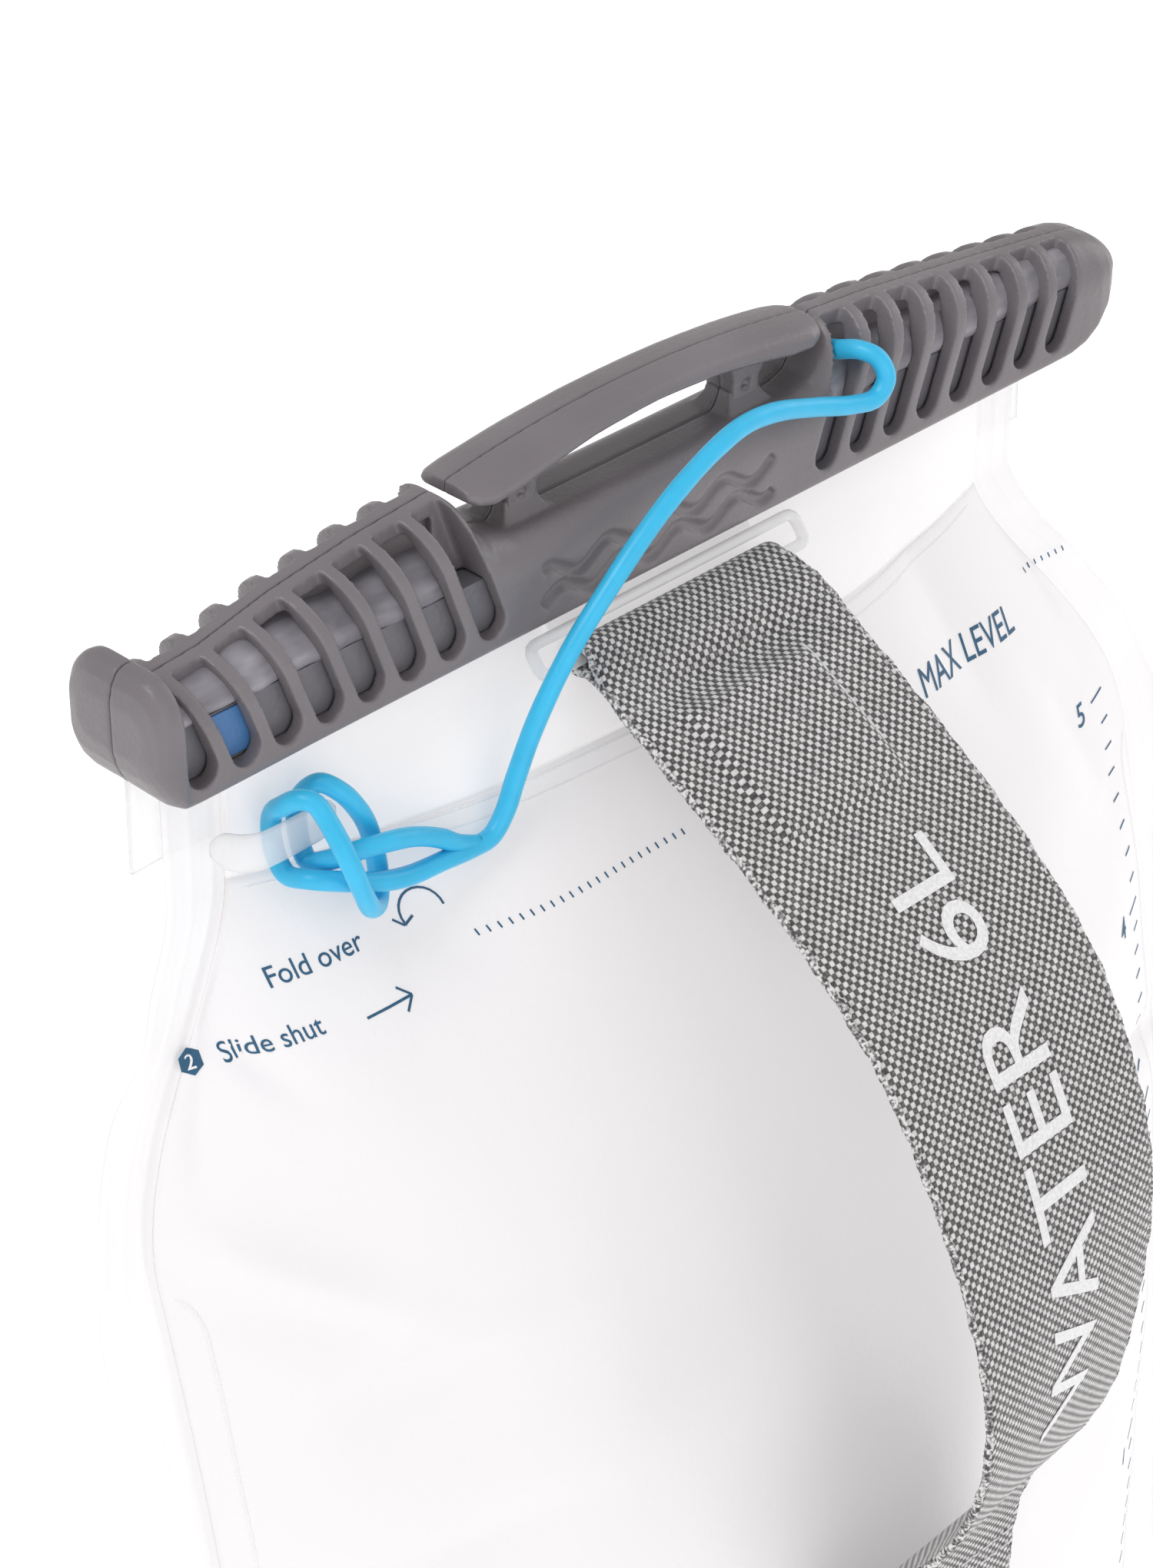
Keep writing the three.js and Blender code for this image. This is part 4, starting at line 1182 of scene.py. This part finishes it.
def handle_grip(look):
    places = [-38.5, -37, -34, -29, -22, -12, 2, 16, 26, 32, 37, 39.5, 40.5]
    depths = [2.2, 3.4, 4.6, 4.9, 4.4, 3.7, 3.4, 3.6, 4.2, 4.6, 4.4, 3.6, 2.2]
    halves = [5.2, 6.4, 7, 7, 6.8, 6.4, 6.2, 6.4, 6.8, 7, 6.8, 5.8, 4]
    rings = []
    for x in np.unique(np.concatenate([places, np.arange(-38, 40.5, 1.5)])):
        top = 34.2 - 0.0021 * (x - 2) ** 2
        depth, half = np.interp(x, places, depths), np.interp(x, places, halves)
        right = [(half * 0.84, top - depth), (half * 0.95, top - depth * 0.88), (half, top - depth * 0.7),
                 (half * 0.98, top - depth * 0.48), (half * 0.88, top - depth * 0.27),
                 (half * 0.7, top - depth * 0.13), (half * 0.4, top - depth * 0.04), (half * 0.1, top)]
        left = [(-y, z) for y, z in right[::-1]]
        rings.append(np.array([(x, y, z) for y, z in right + left]))
    grip = solid_object("grip", rings)
    for x in (-25, 25):
        rings = []
        for z, wide, deep in ((17.5, 3, 3), (23.5, 3, 3), (26, 3.3, 3.3), (28, 4.2, 3.8), (30, 5.6, 4.6)):
            right = [(x + wide, -deep, z), (x + wide, deep, z)]
            left = [(x - wide, deep, z), (x - wide, -deep, z)]
            rings.append(np.array(right + left))
        boolean(grip, solid_object("post", rings), "UNION")
    dimples = []
    for x in (-25, 25):
        centres = np.array([(x, y, 24.3) for y in (-3.9, -2.3, 2.3, 3.9)]) + np.array([0, MOUTH_Y, MOUTH_Z])
        for pair in (centres[:2], centres[2:]):
            points, faces = sweep(pair, 1.05, 12, (1, 0, 0))
            dimple = make_object("dimple", points, faces, None)
            fix_normals(dimple)
            dimples.append(dimple)
    boolean(grip, joined("dimples", dimples))
    for face, word in ((-1, "front"), (1, "back")):
        half = bpy.data.objects.new("half", grip.data.copy())
        bpy.context.scene.collection.objects.link(half)
        y0, y1 = sorted((0, face * 30))
        boolean(half, box_solid("side", -200, 200, y0, y1, -10, 60), "INTERSECT")
        moulded(half, 0.34, 3, look, "handle_grip_" + word)
        place(half, "slider", "grey_plastic", *(("handle",) if face < 0 else ()))
    discard(grip)


def handle_pins(look):
    """The pins that hold the grip's posts down, inside the slider."""
    for x, word in ((-25, "left"), (25, "right")):
        ends = [(-5.9, 0.6), (-5.6, 0.9), (0, 0.9), (5.6, 0.9), (5.9, 0.6)]
        centres = [mouth(x, y, 18.9) for y, _ in ends]
        points, faces = sweep(centres, [radius for _, radius in ends], 16)
        place(make_object("pin_" + word, points, faces, look), "slider", "steel", "handle_pin_" + word)


# ---- Tether ----
TETHER_ROUTE = [
    [43.2, -2.3, 24.2], [43.3, -6, 25], [43.6, -10.5, 26.4], [44.7, -13.5, 25.6], [45.2, -15, 22.3],
    [42.9, -15, 19.7], [37.9, -14.5, 20.1], [29.2, -14, 22.7], [20.1, -14, 25.3], [12.4, -14.5, 26.2],
    [4.4, -15.5, 25.2], [-5.2, -16.5, 21.9], [-13.2, -17, 17.3], [-20.8, -17, 11.1], [-28.6, -16.5, 3],
    [-35.6, -16.3, -6.5], [-40.1, -16.5, -14.2], [-42.8, -16.7, -19.3], [-45.8, -16.8, -22.2],
    [-49.8, -16.8, -22.4], [-55.9, -17, -21.7], [-63.5, -17.2, -20.8], [-69.6, -17.2, -18.9],
    [-76.1, -16, -16.3], [-79.8, -13, -15.6], [-80.6, -8.8, -16.2], [-80.4, -6, -12.8],
    [-80.4, -6, -7.2], [-80.8, -9.2, -3.8], [-79.9, -12, -1.9], [-78.8, -14, -2.2], [-78.4, -16, -4.2],
    [-78.5, -18.8, -6.9], [-78.2, -20.8, -10.2], [-76.5, -21, -15], [-72.4, -18.5, -21.6],
    [-67.3, -14.5, -24.4], [-65.8, -12.9, -20.9], [-66.2, -12.5, -16.3], [-67.1, -12.2, -12.2],
    [-69, -12, -8.2], [-71.1, -11, -5], [-73.1, -8.6, -3.6], [-74.9, -6, -6.8],
    [-75.5, -6, -12.2], [-76.2, -8.8, -15.9], [-75.8, -12.8, -14.2], [-72.7, -15.8, -12.6],
    [-68.1, -16.6, -13], [-61.8, -16.6, -14.8], [-56.2, -16.4, -17.8],
]
TETHER_JOIN = [[-52.6, -16.6, -20.3], [-48.6, -16.8, -21.9]]


def tether(look):
    """The silicone tether as one tube, its last stretch running into the strand beside it."""
    route = [mouth(*p) for p in TETHER_ROUTE + TETHER_JOIN]
    line = catmull(route, np.linspace(0, 1, 2400))
    line, length = resample(line, 0.6)
    along = np.linspace(0, length, len(line))
    left = length - along
    radii = TETHER_D / 2 * (1 - 0.3 * clamp01((7 - left) / 7))
    radii *= 1 + 0.012 * np.sin(along / 2.1) + 0.01 * np.sin(along / 5.7)
    points, faces = sweep(line, radii, 20, (1, 0, 0))
    obj = make_object("tether_cord", points, faces, look)
    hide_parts("tether")
    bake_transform(obj)
    return obj


# ---- Finishes ----
GREY = (0.18, 0.164, 0.174)
LOOKS = {
    "milky": film_look("film", 0.97, (0.58, 0.568, 0.576), glow=0.3),
    "neck": film_look("neck_film", 0.74, (0.66, 0.65, 0.655), glow=0.34),
    "clear": clear_look("clear_film", 0.2, 0.8, (0.93, 0.93, 0.94)),
    "flange": film_look("flange_film", 0.62, (0.7, 0.69, 0.695), glow=0.26),
    "bar": clear_look("clear_bar", 0.35, 0.9, (0.9, 0.9, 0.905)),
    "grey": plastic_look("grey_plastic", GREY),
    "dark": plastic_look("dark_plastic", (0.055, 0.055, 0.06)),
    "liner": plastic_look("liner_plastic", (0.17, 0.165, 0.185), 0.35),
    "roll": roll_look("rolled_film"),
    "tab": plastic_look("tab_plastic", (0.07, 0.2, 0.45), 0.4),
    "blue_soft": silicone_look("blue_silicone", (0.045, 0.52, 0.84)),
    "blue_hard": plastic_look("blue_plastic", (0.03, 0.3, 0.62), 0.35),
    "ink": print_look("blue_ink", (0.015, 0.1, 0.2)),
    "white": print_look("white_ink", (0.85, 0.85, 0.86)),
    "weave": weave_look("webbing"),
    "edge": selvedge_look("selvedge"),
    "thread": print_look("thread", (0.75, 0.75, 0.76), 0.6),
    "steel": metal_look("steel", (0.55, 0.56, 0.58), 0.3),
    "rubber": plastic_look("seal_rubber", (0.02, 0.02, 0.022), 0.6),
}
CAD_LOOKS = {
    "mouth_fold": "clear", "mouth_stiffener": "liner", "ring_patch_upper": "flange",
    "ring_patch_lower": "flange", "port_flange": "bar", "port_body": "dark", "port_seal": "rubber",
    "valve_spring": "steel", "valve_plunger": "blue_hard", "release_button": "blue_hard",
    "slider_liner": "liner",
    "tether_anchor": "blue_soft",
}

camera()
tether(LOOKS["blue_soft"])
studio()
bag_films()
edge_strip(-1, LOOKS["flange"])
edge_strip(1, LOOKS["flange"])
weld_ridges(LOOKS["clear"])
base_tray(LOOKS["milky"])
mouth_flap(LOOKS["clear"])
prints(LOOKS["ink"], LOOKS["white"])

band = Band()
webbing = strap(band, LOOKS["weave"])
edges = [selvedge(band, side, LOOKS["edge"]) for side in (-1, 1)]
sewn = stitches(band, LOOKS["thread"])
words = strap_words(band, LOOKS["white"])
bar_ring("ring_upper", -9.8, -1.45, -0.68, LOOKS["bar"], "strap_ring_upper")
bar_ring("ring_lower", -69.8, -209.1, 0.15, LOOKS["bar"], "strap_ring_lower")
tether_bar(LOOKS["bar"])

slider_shells(LOOKS["grey"])
film_rolls(LOOKS["roll"], LOOKS["tab"])
handle_grip(LOOKS["grey"])
handle_pins(LOOKS["steel"])

for name, look in CAD_LOOKS.items():
    nodes[name].data.materials.clear()
    nodes[name].data.materials.append(LOOKS[look])
